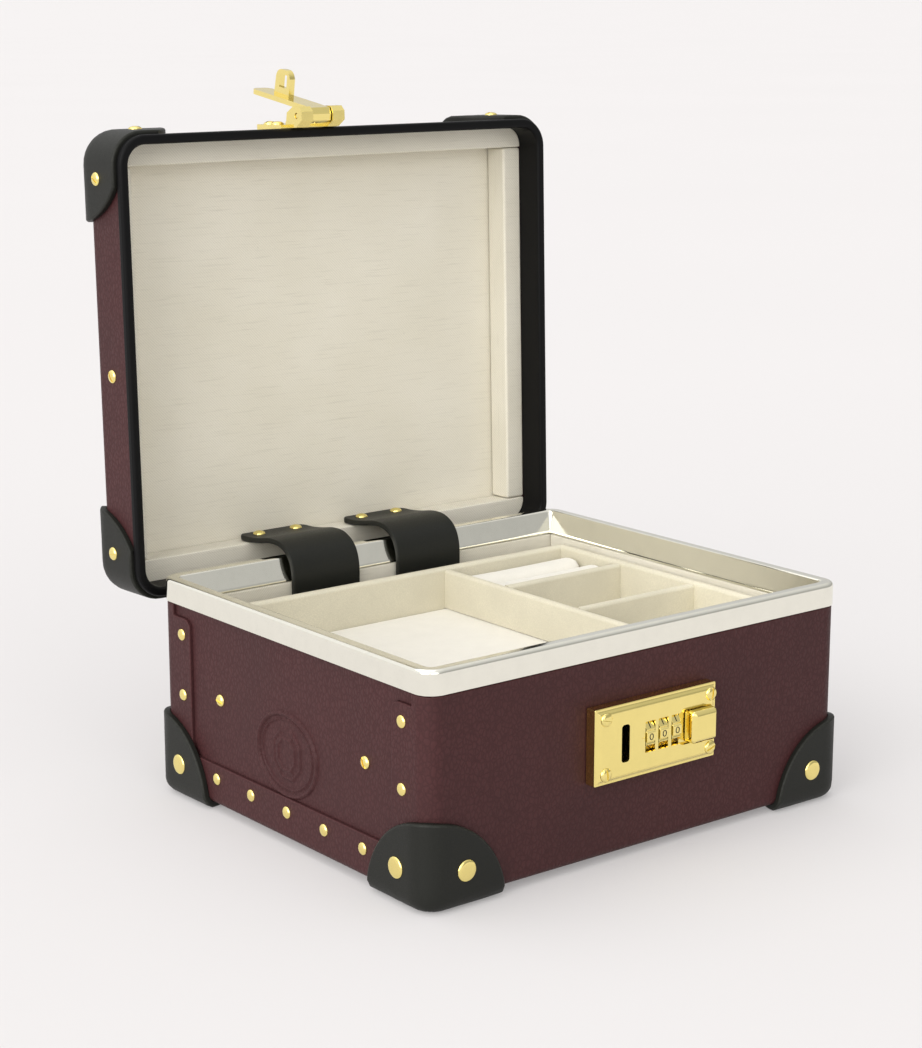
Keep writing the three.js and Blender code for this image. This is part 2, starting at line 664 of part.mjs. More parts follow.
function buildHinges() {
  for (const [side, name] of [[-1, 'left'], [1, 'right']]) {
    const x0 = side * HINGE_SPREAD - HINGE_HALF;
    const x1 = x0 + 2 * HINGE_HALF;
    const third = (x1 - x0) / 3;
    const bore = solid(barX(PIN_RADIUS + 0.1, [x0 - 1, x1 + 1], HINGE_Y, HINGE_Z, 12));
    const wallY = CASE_DEPTH + GAP;
    const plateY = [wallY, wallY + HINGE_PLATE];
    const basePlate = boxSolid([x0, x1], plateY, [HINGE_FOOT, HINGE_Z - 1.2]);
    const crankZ = [HINGE_Z - 3.2, HINGE_Z - 3.2 + HINGE_PLATE];
    const crank = boxSolid([x0, x1], [wallY, HINGE_Y], crankZ);
    const outerThirds = [
      [x0, x0 + third - GAP],
      [x1 - third + GAP, x1],
    ];
    const baseKnuckles = outerThirds.map((xs) => {
      const arm = boxSolid(xs, about(HINGE_Y, HINGE_PLATE / 2), [crankZ[0], HINGE_Z]);
      return cut(join(hingeKnuckle(xs), arm), bore);
    });
    const baseLeaf = join(basePlate, crank, ...baseKnuckles);
    placeSolid(caseGroup, `hinge_${name}_base`, baseLeaf, nickel());

    // The lid's leaf steps over the binding and lies along the lid's back wall.
    const middleThird = [x0 + third, x1 - third];
    const shellBack = CASE_DEPTH + LID_OVERHANG + GAP;
    const overTrim = shellBack + TRIM_PROUD;
    const stepLow = LID_LOW + TRIM_FLANGE + GAP;
    const foot = boxSolid(middleThird, [overTrim, overTrim + HINGE_PLATE], [HINGE_Z, stepLow + 2]);
    const leafX = [x0, x1];
    const lidLeaf = join(
      cut(join(hingeKnuckle(middleThird), foot), bore),
      boxSolid(leafX, [shellBack, overTrim + HINGE_PLATE], [stepLow, stepLow + 1.4]),
      boxSolid(leafX, [shellBack, shellBack + HINGE_PLATE], [stepLow, LID_HIGH - 6]),
    );
    placeSolid(lidGroup, `hinge_${name}_lid`, lidLeaf, nickel());
    const pin = barX(PIN_RADIUS, [x0 + 0.5, x1 - 0.5], HINGE_Y, HINGE_Z, 12);
    place(caseGroup, `hinge_${name}_pin`, pin, nickel());
  }
}

// ---------------------------------------------------------------- hasp
const LEAF_FACE = LOCK_FACE - GAP;

function buildHasp() {
  const front = -LID_OVERHANG - GAP;
  const bore = solid(barX(PIN_RADIUS + 0.4, [SLOT_X - 20, SLOT_X + 20], HASP_Y, HASP_Z, 12));
  const clearOfTrim = LID_LOW + TRIM_FLANGE + GAP;
  const plate = boxSolid(
    [SLOT_X - BRACKET_HALF, SLOT_X + BRACKET_HALF],
    [front - 2.2, front],
    [clearOfTrim, clearOfTrim + BRACKET_HEIGHT],
  );
  const armShape = new THREE.Shape();
  const armTop = clearOfTrim + 1.2;
  armShape.moveTo(front - TRIM_PROUD, armTop);
  armShape.lineTo(HASP_Y - 1.2, armTop - 1);
  armShape.lineTo(HASP_Y - 3.6, HASP_Z + 2.4);
  armShape.lineTo(HASP_Y - 3.6, HASP_Z - 1.6);
  armShape.lineTo(HASP_Y - 1.6, HASP_Z - 3.6);
  armShape.lineTo(HASP_Y + 1.9, HASP_Z - 3.6);
  armShape.lineTo(front - TRIM_PROUD, LID_LOW - 2.4);
  const arms = [-1, 1].map((side) => {
    const nearX = SLOT_X + side * (BARREL_HALF + GAP);
    const xs = [nearX, nearX + side * ARM_WIDTH].sort((a, b) => a - b);
    return join(
      solid(extrudeX(armShape, xs)),
      boxSolid(xs, [front - 3.4, front - TRIM_PROUD + 0.01], [LID_LOW - 2.4, armTop]),
      boxSolid(xs, [front - 2.4, front], [clearOfTrim, armTop]),
    );
  });
  placeSolid(lidGroup, 'hasp_bracket', cut(join(plate, ...arms), bore), brass());
  const pinRange = about(SLOT_X, BARREL_HALF + ARM_WIDTH);
  const pin = barX(PIN_RADIUS + 0.3, pinRange, HASP_Y, HASP_Z, 12);
  place(lidGroup, 'hasp_pin', pin, brass());

  // The leaf hangs from its barrel over the lock plate, with the staple behind it.
  const leafTop = HASP_Z + 2;
  const tip = HASP_Z - LEAF_REACH;
  const leafShape = roundedShape([SLOT_X - LEAF_HALF, SLOT_X + LEAF_HALF], [tip, HASP_Z - 2], 3);
  const barrelShape = new THREE.Shape();
  barrelShape.moveTo(LEAF_FACE, leafTop - 1);
  barrelShape.lineTo(HASP_Y + 1, leafTop + 0.6);
  barrelShape.lineTo(HASP_Y - 1.6, leafTop + 0.6);
  barrelShape.lineTo(HASP_Y - 2.8, HASP_Z + 1);
  barrelShape.lineTo(HASP_Y - 2.8, HASP_Z - 1.2);
  barrelShape.lineTo(HASP_Y - 1.4, HASP_Z - 2.6);
  barrelShape.lineTo(LEAF_FACE - LEAF_THICK, HASP_Z - 4.2);
  barrelShape.lineTo(LEAF_FACE, HASP_Z - 4.2);
  const stapleLow = SLOT_LOW + 2.7;
  const stapleHigh = SLOT_HIGH - 0.8;
  const stapleTip = LEAF_FACE + STAPLE_REACH;
  const round = 3.8;
  const rise = 0.6;
  const foot = LEAF_FACE - 0.5;
  const stapleShape = new THREE.Shape();
  stapleShape.moveTo(foot, stapleLow);
  stapleShape.lineTo(stapleTip - round, stapleLow + rise);
  stapleShape.absarc(stapleTip - round, stapleLow + rise + round, round, -Math.PI / 2, 0);
  stapleShape.lineTo(stapleTip, stapleHigh - round);
  stapleShape.absarc(stapleTip - round, stapleHigh - round, round, 0, Math.PI / 2);
  stapleShape.lineTo(foot, stapleHigh);
  const eye = boxSolid(
    [SLOT_X - 5, SLOT_X + 5],
    [stapleTip - 2 - EYE, stapleTip - 2],
    [stapleHigh - 2 - EYE, stapleHigh - 2],
  );
  const staple = cut(
    solid(extrudeX(stapleShape, [SLOT_X - STAPLE_HALF, SLOT_X + STAPLE_HALF], 4)),
    eye,
  );
  const leaf = join(
    solid(extrudeY(leafShape, [LEAF_FACE - LEAF_THICK, LEAF_FACE], 4)),
    cut(solid(extrudeX(barrelShape, [SLOT_X - BARREL_HALF, SLOT_X + BARREL_HALF])), bore),
    staple,
  );
  placeSolid(haspGroup, 'hasp_leaf', leaf, brass());
}

// ---------------------------------------------------------------- straps
function buildStraps() {
  const points = STRAP_ROUTE.map(([y, z]) => new THREE.Vector2(y, z));
  const route = new THREE.SplineCurve(points);
  const steps = 22;
  const upper = [];
  const lower = [];
  for (let step = 0; step <= steps; step += 1) {
    const at = route.getPoint(step / steps);
    const along = route.getTangent(step / steps);
    const side = new THREE.Vector2(along.y, -along.x).multiplyScalar(STRAP_THICK / 2);
    upper.push(at.clone().add(side));
    lower.push(at.clone().sub(side));
  }
  const outline = new THREE.Shape([...upper, ...lower.reverse()]);
  STRAP_CENTRES.forEach((centre, index) => {
    const name = ['strap_left', 'strap_right'][index];
    place(caseGroup, name, extrudeX(outline, about(centre, STRAP_WIDTH / 2)), blackLeather());
  });
}

// ---------------------------------------------------------------- assembly
buildBase();
buildRim();
buildBaseCorners();
buildTray();
buildLock();
buildLid();
buildHinges();
buildHasp();
buildStraps();

// A group that turns about an axis along x, though its pieces were laid out in the case's frame.
function pivot(group, y, z, degrees) {
  const holder = new THREE.Group();
  group.position.set(0, -y, -z);
  holder.add(group);
  holder.position.set(0, y, z);
  holder.rotation.x = THREE.MathUtils.degToRad(degrees);
  return holder;
}

lidGroup.add(pivot(haspGroup, HASP_Y, HASP_Z, -HASP_REST_ANGLE));
caseGroup.add(pivot(lidGroup, HINGE_Y, HINGE_Z, -LID_REST_ANGLE));

// The finished part stands on z = 0, with its box centred on x = 0 and y = 0.
const object = new THREE.Group();
object.add(caseGroup);
caseGroup.position.set(0, -BOX_MIDDLE_Y, LEATHER + GAP);
export default object;
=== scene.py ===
"""A leather jewellery case: fibre base and lid, metal rim, lift-out tray, combination lock.

Shapes are laid out in millimetres in the frame of the shut case: x runs to the right from the
middle, y runs back from the base's front face, and z runs up from the underside of its shell.
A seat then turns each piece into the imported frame, in metres, and names the body it moves with.
"""

import json
import logging
import math
from dataclasses import dataclass
from enum import Enum
from typing import Iterable, Sequence

import bmesh
import bpy
import numpy as np
from mathutils import Matrix, Vector


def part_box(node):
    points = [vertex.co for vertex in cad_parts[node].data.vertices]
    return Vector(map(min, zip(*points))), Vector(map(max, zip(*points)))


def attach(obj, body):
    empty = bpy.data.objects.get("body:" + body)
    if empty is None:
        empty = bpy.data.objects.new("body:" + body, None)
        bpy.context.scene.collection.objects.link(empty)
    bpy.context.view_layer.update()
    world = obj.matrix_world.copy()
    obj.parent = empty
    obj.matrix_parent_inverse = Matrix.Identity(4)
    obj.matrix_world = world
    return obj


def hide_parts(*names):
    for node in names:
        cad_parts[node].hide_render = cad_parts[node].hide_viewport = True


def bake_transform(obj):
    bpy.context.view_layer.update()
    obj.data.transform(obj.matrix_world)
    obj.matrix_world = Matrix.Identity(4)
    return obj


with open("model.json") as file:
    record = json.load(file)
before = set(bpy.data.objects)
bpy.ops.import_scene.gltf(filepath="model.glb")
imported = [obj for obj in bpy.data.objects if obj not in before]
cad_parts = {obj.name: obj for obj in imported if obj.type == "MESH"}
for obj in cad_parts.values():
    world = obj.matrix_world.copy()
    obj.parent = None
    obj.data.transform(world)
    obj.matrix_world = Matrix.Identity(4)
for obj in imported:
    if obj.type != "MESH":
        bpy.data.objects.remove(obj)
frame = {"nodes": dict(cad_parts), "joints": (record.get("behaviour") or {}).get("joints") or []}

log = logging.getLogger("jewellery_case")

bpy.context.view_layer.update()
MM = 0.001

Point = tuple[float, float, float]
Pair = tuple[float, float]
Shape = bmesh.types.BMesh
Socket = bpy.types.NodeSocket


# ------------------------------------------------------------------ seats
@dataclass(frozen=True)
class Seat:
    """The body that a piece moves with, and where that body's shut frame lies at rest."""

    body: str
    place: Matrix

    def span(self, node: str) -> tuple[Vector, Vector]:
        """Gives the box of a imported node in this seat's millimetres.

        Args:
            node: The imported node's name.

        Returns:
            Its lowest and its highest corner.
        """
        back = self.place.inverted()
        points = [back @ v.co for v in frame["nodes"][node].data.vertices]
        low = Vector(min(p[i] for p in points) for i in range(3))
        high = Vector(max(p[i] for p in points) for i in range(3))
        return low, high


def joint_turn(name: str) -> Matrix:
    """Gives the turn that takes a joint's body from its far limit to its rest pose.

    Args:
        name: The joint's name in the record.

    Returns:
        The turn about the joint's own axis, in metres.
    """
    joint = next(j for j in frame["joints"] if j["name"] == name)
    centre = Vector(joint["pos_m"])
    angle = math.radians(-joint["range_deg"][0])
    turn = Matrix.Rotation(angle, 4, Vector(joint["axis"]))
    return Matrix.Translation(centre) @ turn @ Matrix.Translation(-centre)


def shut_frame() -> Matrix:
    """Gives the base's frame, from its fibre wrap: millimetres to metres."""
    low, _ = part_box("base_wrap")
    return Matrix.Translation((0, low.y, low.z)) @ Matrix.Scale(MM, 4)


BASE = Seat("base", shut_frame())
TRAY = Seat("tray", BASE.place)
BUTTON = Seat("button", BASE.place)
LID = Seat("lid", joint_turn("lid_hinge") @ BASE.place)
HASP = Seat("hasp", joint_turn("hasp_hinge") @ LID.place)


# ------------------------------------------------------------------ node building
def srgb(red: float, green: float, blue: float) -> tuple[float, float, float, float]:
    """Turns a screen colour from 0 to 255 into the linear colour that a shader takes.

    Args:
        red: The red channel.
        green: The green channel.
        blue: The blue channel.

    Returns:
        The linear colour, with an alpha of one.
    """

    def linear(value: float) -> float:
        """Gives one channel's linear value."""
        share = value / 255
        if share <= 0.04045:
            return share / 12.92
        return ((share + 0.055) / 1.055) ** 2.4

    return (linear(red), linear(green), linear(blue), 1.0)


class NodeSheet:
    """Adds nodes to a tree and wires them up, from left to right."""

    def __init__(self, tree: bpy.types.NodeTree) -> None:
        """Starts with a tree to add to."""
        self.tree = tree

    def add(self, kind: str, inputs: dict | None = None, **settings: object) -> bpy.types.Node:
        """Adds one node.

        Args:
            kind: The node's type name.
            inputs: A value or another node's output for each named or numbered input.
            settings: The node's own properties.

        Returns:
            The new node.
        """
        node = self.tree.nodes.new(kind)
        for key, value in settings.items():
            setattr(node, key, value)
        for key, value in (inputs or {}).items():
            self.feed(node.inputs[key], value)
        return node

    def feed(self, socket: Socket, value: object) -> None:
        """Sets an input, or links it where the value is another node's output.

        Args:
            socket: The input.
            value: A value, or another node's output.
        """
        if isinstance(value, Socket):
            self.tree.links.new(value, socket)
        else:
            socket.default_value = value

    def math(
        self, operation: str, first: object, second: object = 0.5, third: object = 0.0
    ) -> Socket:
        """Adds a math node.

        Args:
            operation: What it works out.
            first: Its first value or output.
            second: Its second value or output.
            third: Its third value or output, where it has one.

        Returns:
            The result's output.
        """
        inputs = {0: first, 1: second, 2: third}
        return self.add("ShaderNodeMath", inputs, operation=operation).outputs[0]

    def times(self, first: object, second: object) -> Socket:
        """Multiplies two values."""
        return self.math("MULTIPLY", first, second)

    def scaled(self, value: object, factor: object, start: object) -> Socket:
        """Multiplies a value by a factor, and adds where it starts from."""
        return self.math("MULTIPLY_ADD", value, factor, start)

    def vector(self, operation: str, first: object, second: object) -> Socket:
        """Adds a vector math node, and gives the result's output."""
        inputs = {0: first, 1: second}
        return self.add("ShaderNodeVectorMath", inputs, operation=operation).outputs[0]

    def mix(self, share: object, first: object, second: object) -> Socket:
        """Mixes two colours by a share, and gives the result's output."""
        inputs = {0: share, 6: first, 7: second}
        return self.add("ShaderNodeMix", inputs, data_type="RGBA").outputs[2]

    def ramp(
        self, value: object, low: float, high: float, start: float = 0.0, end: float = 1.0
    ) -> Socket:
        """Stretches a value from low..high to start..end, clamped.

        Args:
            value: The value's output.
            low: The value that gives start.
            high: The value that gives end.
            start: What low becomes.
            end: What high becomes.

        Returns:
            The result's output.
        """
        inputs = {0: value, 1: low, 2: high, 3: start, 4: end}
        return self.add("ShaderNodeMapRange", inputs, clamp=True).outputs[0]

    def noise(
        self, vector: object, scale: float, detail: float = 3.0, rough: float = 0.5
    ) -> Socket:
        """Adds a noise texture.

        Args:
            vector: Where it is read.
            scale: Its scale.
            detail: How many octaves it has.
            rough: How strong the fine octaves are.

        Returns:
            Its factor's output.
        """
        inputs = {"Vector": vector, "Scale": scale, "Detail": detail, "Roughness": rough}
        return self.add("ShaderNodeTexNoise", inputs).outputs[0]


def new_group(
    name: str, inputs: dict[str, tuple[str, object]], outputs: dict[str, str]
) -> tuple[bpy.types.NodeTree, NodeSheet, bpy.types.Node, bpy.types.Node]:
    """Starts a shader node group with named sockets.

    Args:
        name: The group's name.
        inputs: Each input's socket type and its default value.
        outputs: Each output's socket type.

    Returns:
        The tree, its sheet, its input node and its output node.
    """
    tree = bpy.data.node_groups.new(name, "ShaderNodeTree")
    for label, (kind, default) in inputs.items():
        socket = tree.interface.new_socket(label, in_out="INPUT", socket_type=kind)
        if default is not None:
            socket.default_value = default
    for label, kind in outputs.items():
        tree.interface.new_socket(label, in_out="OUTPUT", socket_type=kind)
    sheet = NodeSheet(tree)
    return tree, sheet, sheet.add("NodeGroupInput"), sheet.add("NodeGroupOutput")


FLOAT = "NodeSocketFloat"
VECTOR = "NodeSocketVector"
PAINTED_EDGE_HIGHLIGHT = "painted_edge_highlight"  # how strongly each face gets the painted edge highlight, an attribute that the rounded edges set
LEATHER = 2.7  # how far the corners' leather stands off the box
PER_METRE = 1000.0  # one over a millimetre, in the textures' metres


def grain_group() -> bpy.types.NodeTree:
    """Builds the hide grain: pebbles between fine creases, with a slow change of tone.

    Returns:
        The group, with a Height, a Crease mask and a Tone.
    """
    name = "Hide grain"
    if name in bpy.data.node_groups:
        return bpy.data.node_groups[name]
    tree, sheet, given, result = new_group(
        name,
        {"Vector": (VECTOR, None), "Pebble mm": (FLOAT, 1.2), "Stretch": (FLOAT, 1.0)},
        {"Height": FLOAT, "Crease": FLOAT, "Tone": FLOAT},
    )
    scale = sheet.math("DIVIDE", PER_METRE, given.outputs["Pebble mm"])
    stretch = sheet.add("ShaderNodeCombineXYZ", {0: 1.0, 1: 1.0, 2: given.outputs["Stretch"]})
    place = sheet.vector("MULTIPLY", given.outputs["Vector"], stretch.outputs[0])
    wobble = sheet.add("ShaderNodeTexNoise", {"Vector": place, "Scale": scale, "Detail": 2.0})
    shift = sheet.vector("MULTIPLY", wobble.outputs[1], (0.0009, 0.0009, 0.0009))
    bent = sheet.vector("ADD", place, shift)
    cells = sheet.add(
        "ShaderNodeTexVoronoi", {"Vector": bent, "Scale": scale}, feature="DISTANCE_TO_EDGE"
    ).outputs[0]
    crease = sheet.ramp(cells, 0.0, 0.22, 1.0, 0.0)
    coarse = sheet.add("ShaderNodeTexNoise", {"Vector": bent, "Scale": scale, "Detail": 4.0})
    rounded = sheet.ramp(cells, 0.0, 0.4)
    lumps = sheet.times(coarse.outputs[0], 0.7)
    height = sheet.scaled(rounded, 0.45, lumps)
    slow = sheet.noise(given.outputs["Vector"], 22.0, 4.0, 0.55)
    sheet.feed(result.inputs["Height"], height)
    sheet.feed(result.inputs["Crease"], crease)
    sheet.feed(result.inputs["Tone"], sheet.ramp(slow, 0.3, 0.7))
    return tree


def weave_group() -> bpy.types.NodeTree:
    """Builds a twill of warp and weft threads, with slubs, from a map in millimetres.

    Returns:
        The group, with a Height, a Warp mask, a Gap mask and a Slub mask.
    """
    name = "Twill weave"
    if name in bpy.data.node_groups:
        return bpy.data.node_groups[name]
    tree, sheet, given, result = new_group(
        name,
        {"Vector": (VECTOR, None), "Thread mm": (FLOAT, 0.3)},
        {"Height": FLOAT, "Warp": FLOAT, "Gap": FLOAT, "Slub": FLOAT},
    )
    drift = sheet.add("ShaderNodeTexNoise", {"Vector": given.outputs[0], "Scale": 0.12})
    sway = sheet.vector("MULTIPLY", drift.outputs[1], (0.5, 0.5, 0.0))
    place = sheet.vector("ADD", given.outputs[0], sway)
    split = sheet.add("ShaderNodeSeparateXYZ", {0: place})
    across = sheet.math("DIVIDE", split.outputs[0], given.outputs["Thread mm"])
    along = sheet.math("DIVIDE", split.outputs[1], given.outputs["Thread mm"])
    column = sheet.math("FLOOR", across, 0.0)
    row = sheet.math("FLOOR", along, 0.0)
    step = sheet.math("MODULO", sheet.math("ADD", sheet.math("SUBTRACT", column, row), 4000.0), 4.0)
    warp_on_top = sheet.math("LESS_THAN", step, 1.5)
    u = sheet.math("ABSOLUTE", sheet.math("SUBTRACT", sheet.math("FRACT", across, 0.0), 0.5))
    v = sheet.math("ABSOLUTE", sheet.math("SUBTRACT", sheet.math("FRACT", along, 0.0), 0.5))
    warp_dome = sheet.math("SUBTRACT", 1.0, sheet.math("POWER", sheet.times(u, 2.0), 2.5))
    weft_dome = sheet.math("SUBTRACT", 1.0, sheet.math("POWER", sheet.times(v, 2.0), 2.5))
    top = sheet.times(warp_dome, warp_on_top)
    under = sheet.times(weft_dome, sheet.math("SUBTRACT", 1.0, warp_on_top))
    height = sheet.math("ADD", top, under)
    long_slub = sheet.add("ShaderNodeMapping", {0: place, 3: (0.05, 1.1, 1.0)}).outputs[0]
    slub = sheet.ramp(sheet.noise(long_slub, 1.0, 3.0, 0.6), 0.55, 0.8)
    fleck = sheet.ramp(sheet.noise(place, 0.45, 2.0, 0.5), 0.74, 0.79)
    sheet.feed(result.inputs["Height"], height)
    sheet.feed(result.inputs["Warp"], warp_on_top)
    sheet.feed(result.inputs["Gap"], sheet.ramp(height, 0.0, 0.35, 1.0, 0.0))
    sheet.feed(result.inputs["Slub"], sheet.math("MAXIMUM", slub, fleck))
    return tree


def wear_group() -> bpy.types.NodeTree:
    """Builds a painted edge highlight: a mask that is strong on outer edges and broken up by noise.

    Returns:
        The group, with an Edge mask and a Dust mask.
    """
    name = "Edge wear"
    if name in bpy.data.node_groups:
        return bpy.data.node_groups[name]
    tree, sheet, given, result = new_group(
        name,
        {"Vector": (VECTOR, None)},
        {"Edge": FLOAT, "Dust": FLOAT},
    )
    # mask for the painted edge highlight, from the rounded faces' attribute
    edge = sheet.add("ShaderNodeAttribute", attribute_name=PAINTED_EDGE_HIGHLIGHT).outputs["Fac"]
    broken = sheet.ramp(sheet.noise(given.outputs["Vector"], 900.0, 4.0, 0.65), 0.35, 0.65)
    sheet.feed(result.inputs["Edge"], sheet.times(edge, broken))
    specks = sheet.noise(given.outputs["Vector"], 2600.0, 2.0, 0.5)
    sheet.feed(result.inputs["Dust"], sheet.ramp(specks, 0.72, 0.8))
    return tree


# ------------------------------------------------------------------ finishes
@dataclass(frozen=True)
class Finish:
    """A surface finish. Each kind of finish says how its own material is built.

    Attributes:
        name: The material's name.
        slot: The record's material slot that it belongs to. It is not used.
        colour: Its screen colour, from 0 to 255.
        roughness: How matt it is.
    """

    name: str
    slot: str
    colour: Point
    roughness: float

    def material(self) -> bpy.types.Material:
        """Gives the finish's material, built the first time that it is asked for."""
        if self.name in bpy.data.materials:
            return bpy.data.materials[self.name]
        made = bpy.data.materials.new(self.name)
        made.use_nodes = True
        made.node_tree.nodes.clear()
        sheet = NodeSheet(made.node_tree)
        shader = sheet.add("ShaderNodeBsdfPrincipled")
        out = sheet.add("ShaderNodeOutputMaterial")
        sheet.feed(out.inputs["Surface"], shader.outputs[0])
        made.diffuse_color = srgb(*self.colour)
        self.paint(sheet, shader)
        return made

    def paint(self, sheet: NodeSheet, shader: bpy.types.Node) -> None:
        """Wires the textures of the finish to its shader.

        Args:
            sheet: Where the nodes go.
            shader: The surface's Principled node.
        """
        raise NotImplementedError

    def shade(self, factor: float) -> tuple[float, float, float, float]:
        """Gives the finish's colour, made lighter or darker by a factor."""
        red, green, blue, alpha = srgb(*self.colour)
        return (red * factor, green * factor, blue * factor, alpha)

    def bump(self, sheet: NodeSheet, height: object, depth_mm: float, strength: float) -> Socket:
        """Adds a bump from a height.

        Args:
            sheet: Where the nodes go.
            height: The height's output.
            depth_mm: How deep the height of one is.
            strength: How strong the bump is.

        Returns:
            The bent normal's output.
        """
        inputs = {"Strength": strength, "Distance": depth_mm * MM, "Height": height}
        return sheet.add("ShaderNodeBump", inputs).outputs[0]


@dataclass(frozen=True)
class HideFinish(Finish):
    """Leather, or fibre pressed to look like it.

    Attributes:
        pebble_mm: The size of a grain pebble.
        depth_mm: How deep the grain is.
        edge_factor: How much lighter the rounded edges are, as a painted highlight.
        crease_factor: How much darker the creases are.
        stretch: How much finer the grain is along z.
        shine: How strongly it mirrors light, where 0.5 is usual.
    """

    pebble_mm: float = 1.2
    depth_mm: float = 0.08
    edge_factor: float = 1.8
    crease_factor: float = 0.8
    stretch: float = 1.0
    shine: float = 0.5

    def paint(self, sheet: NodeSheet, shader: bpy.types.Node) -> None:
        """Wires the hide's grain, tone and the painted highlight on its rounded edges to its shader.

        Args:
            sheet: Where the nodes go.
            shader: The surface's Principled node.
        """
        place = sheet.add("ShaderNodeTexCoord").outputs["Object"]
        grain = sheet.add("ShaderNodeGroup", node_tree=grain_group())
        sheet.feed(grain.inputs["Vector"], place)
        sheet.feed(grain.inputs["Pebble mm"], self.pebble_mm)
        sheet.feed(grain.inputs["Stretch"], self.stretch)
        edge_and_dust = sheet.add("ShaderNodeGroup", node_tree=wear_group())
        sheet.feed(edge_and_dust.inputs["Vector"], place)
        toned = sheet.mix(grain.outputs["Tone"], self.shade(0.88), self.shade(1.12))
        share = sheet.times(grain.outputs["Crease"], 0.6)
        creased = sheet.mix(share, toned, self.shade(self.crease_factor))
        # painted highlight: the rounded edges are made lighter, broken up by noise
        painted_edge_highlight = sheet.times(edge_and_dust.outputs["Edge"], 0.55)
        colour = sheet.mix(painted_edge_highlight, creased, self.shade(self.edge_factor))
        sheet.feed(shader.inputs["Base Color"], colour)
        rough = sheet.scaled(grain.outputs["Tone"], 0.08, self.roughness - 0.04)
        rough = sheet.scaled(grain.outputs["Crease"], 0.1, rough)
        sheet.feed(shader.inputs["Roughness"], rough)
        fine = sheet.noise(place, 5200.0, 2.0, 0.5)
        height = sheet.scaled(fine, 0.18, grain.outputs["Height"])
        normal = self.bump(sheet, height, self.depth_mm, 1.0)
        sheet.feed(shader.inputs["Normal"], normal)
        shader.inputs["Specular IOR Level"].default_value = self.shine


@dataclass(frozen=True)
class LinenFinish(Finish):
    """Woven twill.

    Attributes:
        thread_mm: The distance between threads.
        weft: The screen colour of the weft.
        gap: The screen colour between the threads.
    """

    thread_mm: float = 0.3
    weft: Point = (233, 228, 214)
    gap: Point = (150, 144, 124)

    def paint(self, sheet: NodeSheet, shader: bpy.types.Node) -> None:
        """Wires the threads, slubs and stains of the cloth to its shader.

        Args:
            sheet: Where the nodes go.
            shader: The surface's Principled node.
        """
        place = sheet.add("ShaderNodeUVMap", uv_map="Cloth").outputs[0]
        weave = sheet.add("ShaderNodeGroup", node_tree=weave_group())
        sheet.feed(weave.inputs["Vector"], place)
        sheet.feed(weave.inputs["Thread mm"], self.thread_mm)
        threads = sheet.mix(weave.outputs["Warp"], srgb(*self.weft), self.shade(1.0))
        patches = sheet.ramp(sheet.noise(place, 0.02, 3.0, 0.5), 0.3, 0.7)
        tone = sheet.mix(patches, (0.93, 0.925, 0.9, 1.0), (1.0, 1.0, 1.0, 1.0))
        toned = sheet.add(
            "ShaderNodeMix", {0: 1.0, 6: threads, 7: tone}, data_type="RGBA", blend_type="MULTIPLY"
        ).outputs[2]
        share = sheet.times(weave.outputs["Gap"], 0.55)
        gapped = sheet.mix(share, toned, srgb(*self.gap))
        slub = sheet.times(weave.outputs["Slub"], 0.3)
        sheet.feed(shader.inputs["Base Color"], sheet.mix(slub, gapped, srgb(176, 170, 152)))
        rough = sheet.scaled(weave.outputs["Gap"], 0.06, self.roughness)
        sheet.feed(shader.inputs["Roughness"], rough)
        fuzz = sheet.noise(place, 9.0, 3.0, 0.6)
        height = sheet.scaled(fuzz, 0.35, weave.outputs["Height"])
        height = sheet.scaled(weave.outputs["Slub"], 0.6, height)
        sheet.feed(shader.inputs["Normal"], self.bump(sheet, height, 0.09, 0.9))
        shader.inputs["Sheen Weight"].default_value = 0.15
        shader.inputs["Sheen Roughness"].default_value = 0.5
        shader.inputs["Specular IOR Level"].default_value = 0.2


@dataclass(frozen=True)
class NapFinish(Finish):
    """Brushed suede with a short nap.

    Attributes:
        shadow: The screen colour of the nap where it is brushed away.
    """

    shadow: Point = (196, 190, 174)

    def paint(self, sheet: NodeSheet, shader: bpy.types.Node) -> None:
        """Wires the nap's brushed patches and fibres to its shader.

        Args:
            sheet: Where the nodes go.
            shader: The surface's Principled node.
        """
        place = sheet.add("ShaderNodeTexCoord").outputs["Object"]
        brushed = sheet.ramp(sheet.noise(place, 120.0, 4.0, 0.6), 0.35, 0.65)
        fibres = sheet.noise(place, 3800.0, 3.0, 0.7)
        specks = sheet.ramp(fibres, 0.35, 0.7)
        base = sheet.mix(brushed, self.shade(0.98), self.shade(1.02))
        share = sheet.times(sheet.math("SUBTRACT", 1.0, specks), 0.2)
        sheet.feed(shader.inputs["Base Color"], sheet.mix(share, base, srgb(*self.shadow)))
        rough = sheet.scaled(specks, 0.08, self.roughness - 0.05)
        sheet.feed(shader.inputs["Roughness"], rough)
        height = sheet.scaled(brushed, 0.2, fibres)
        sheet.feed(shader.inputs["Normal"], self.bump(sheet, height, 0.12, 0.8))
        shader.inputs["Sheen Weight"].default_value = 0.35
        shader.inputs["Sheen Roughness"].default_value = 0.45
        shader.inputs["Specular IOR Level"].default_value = 0.15


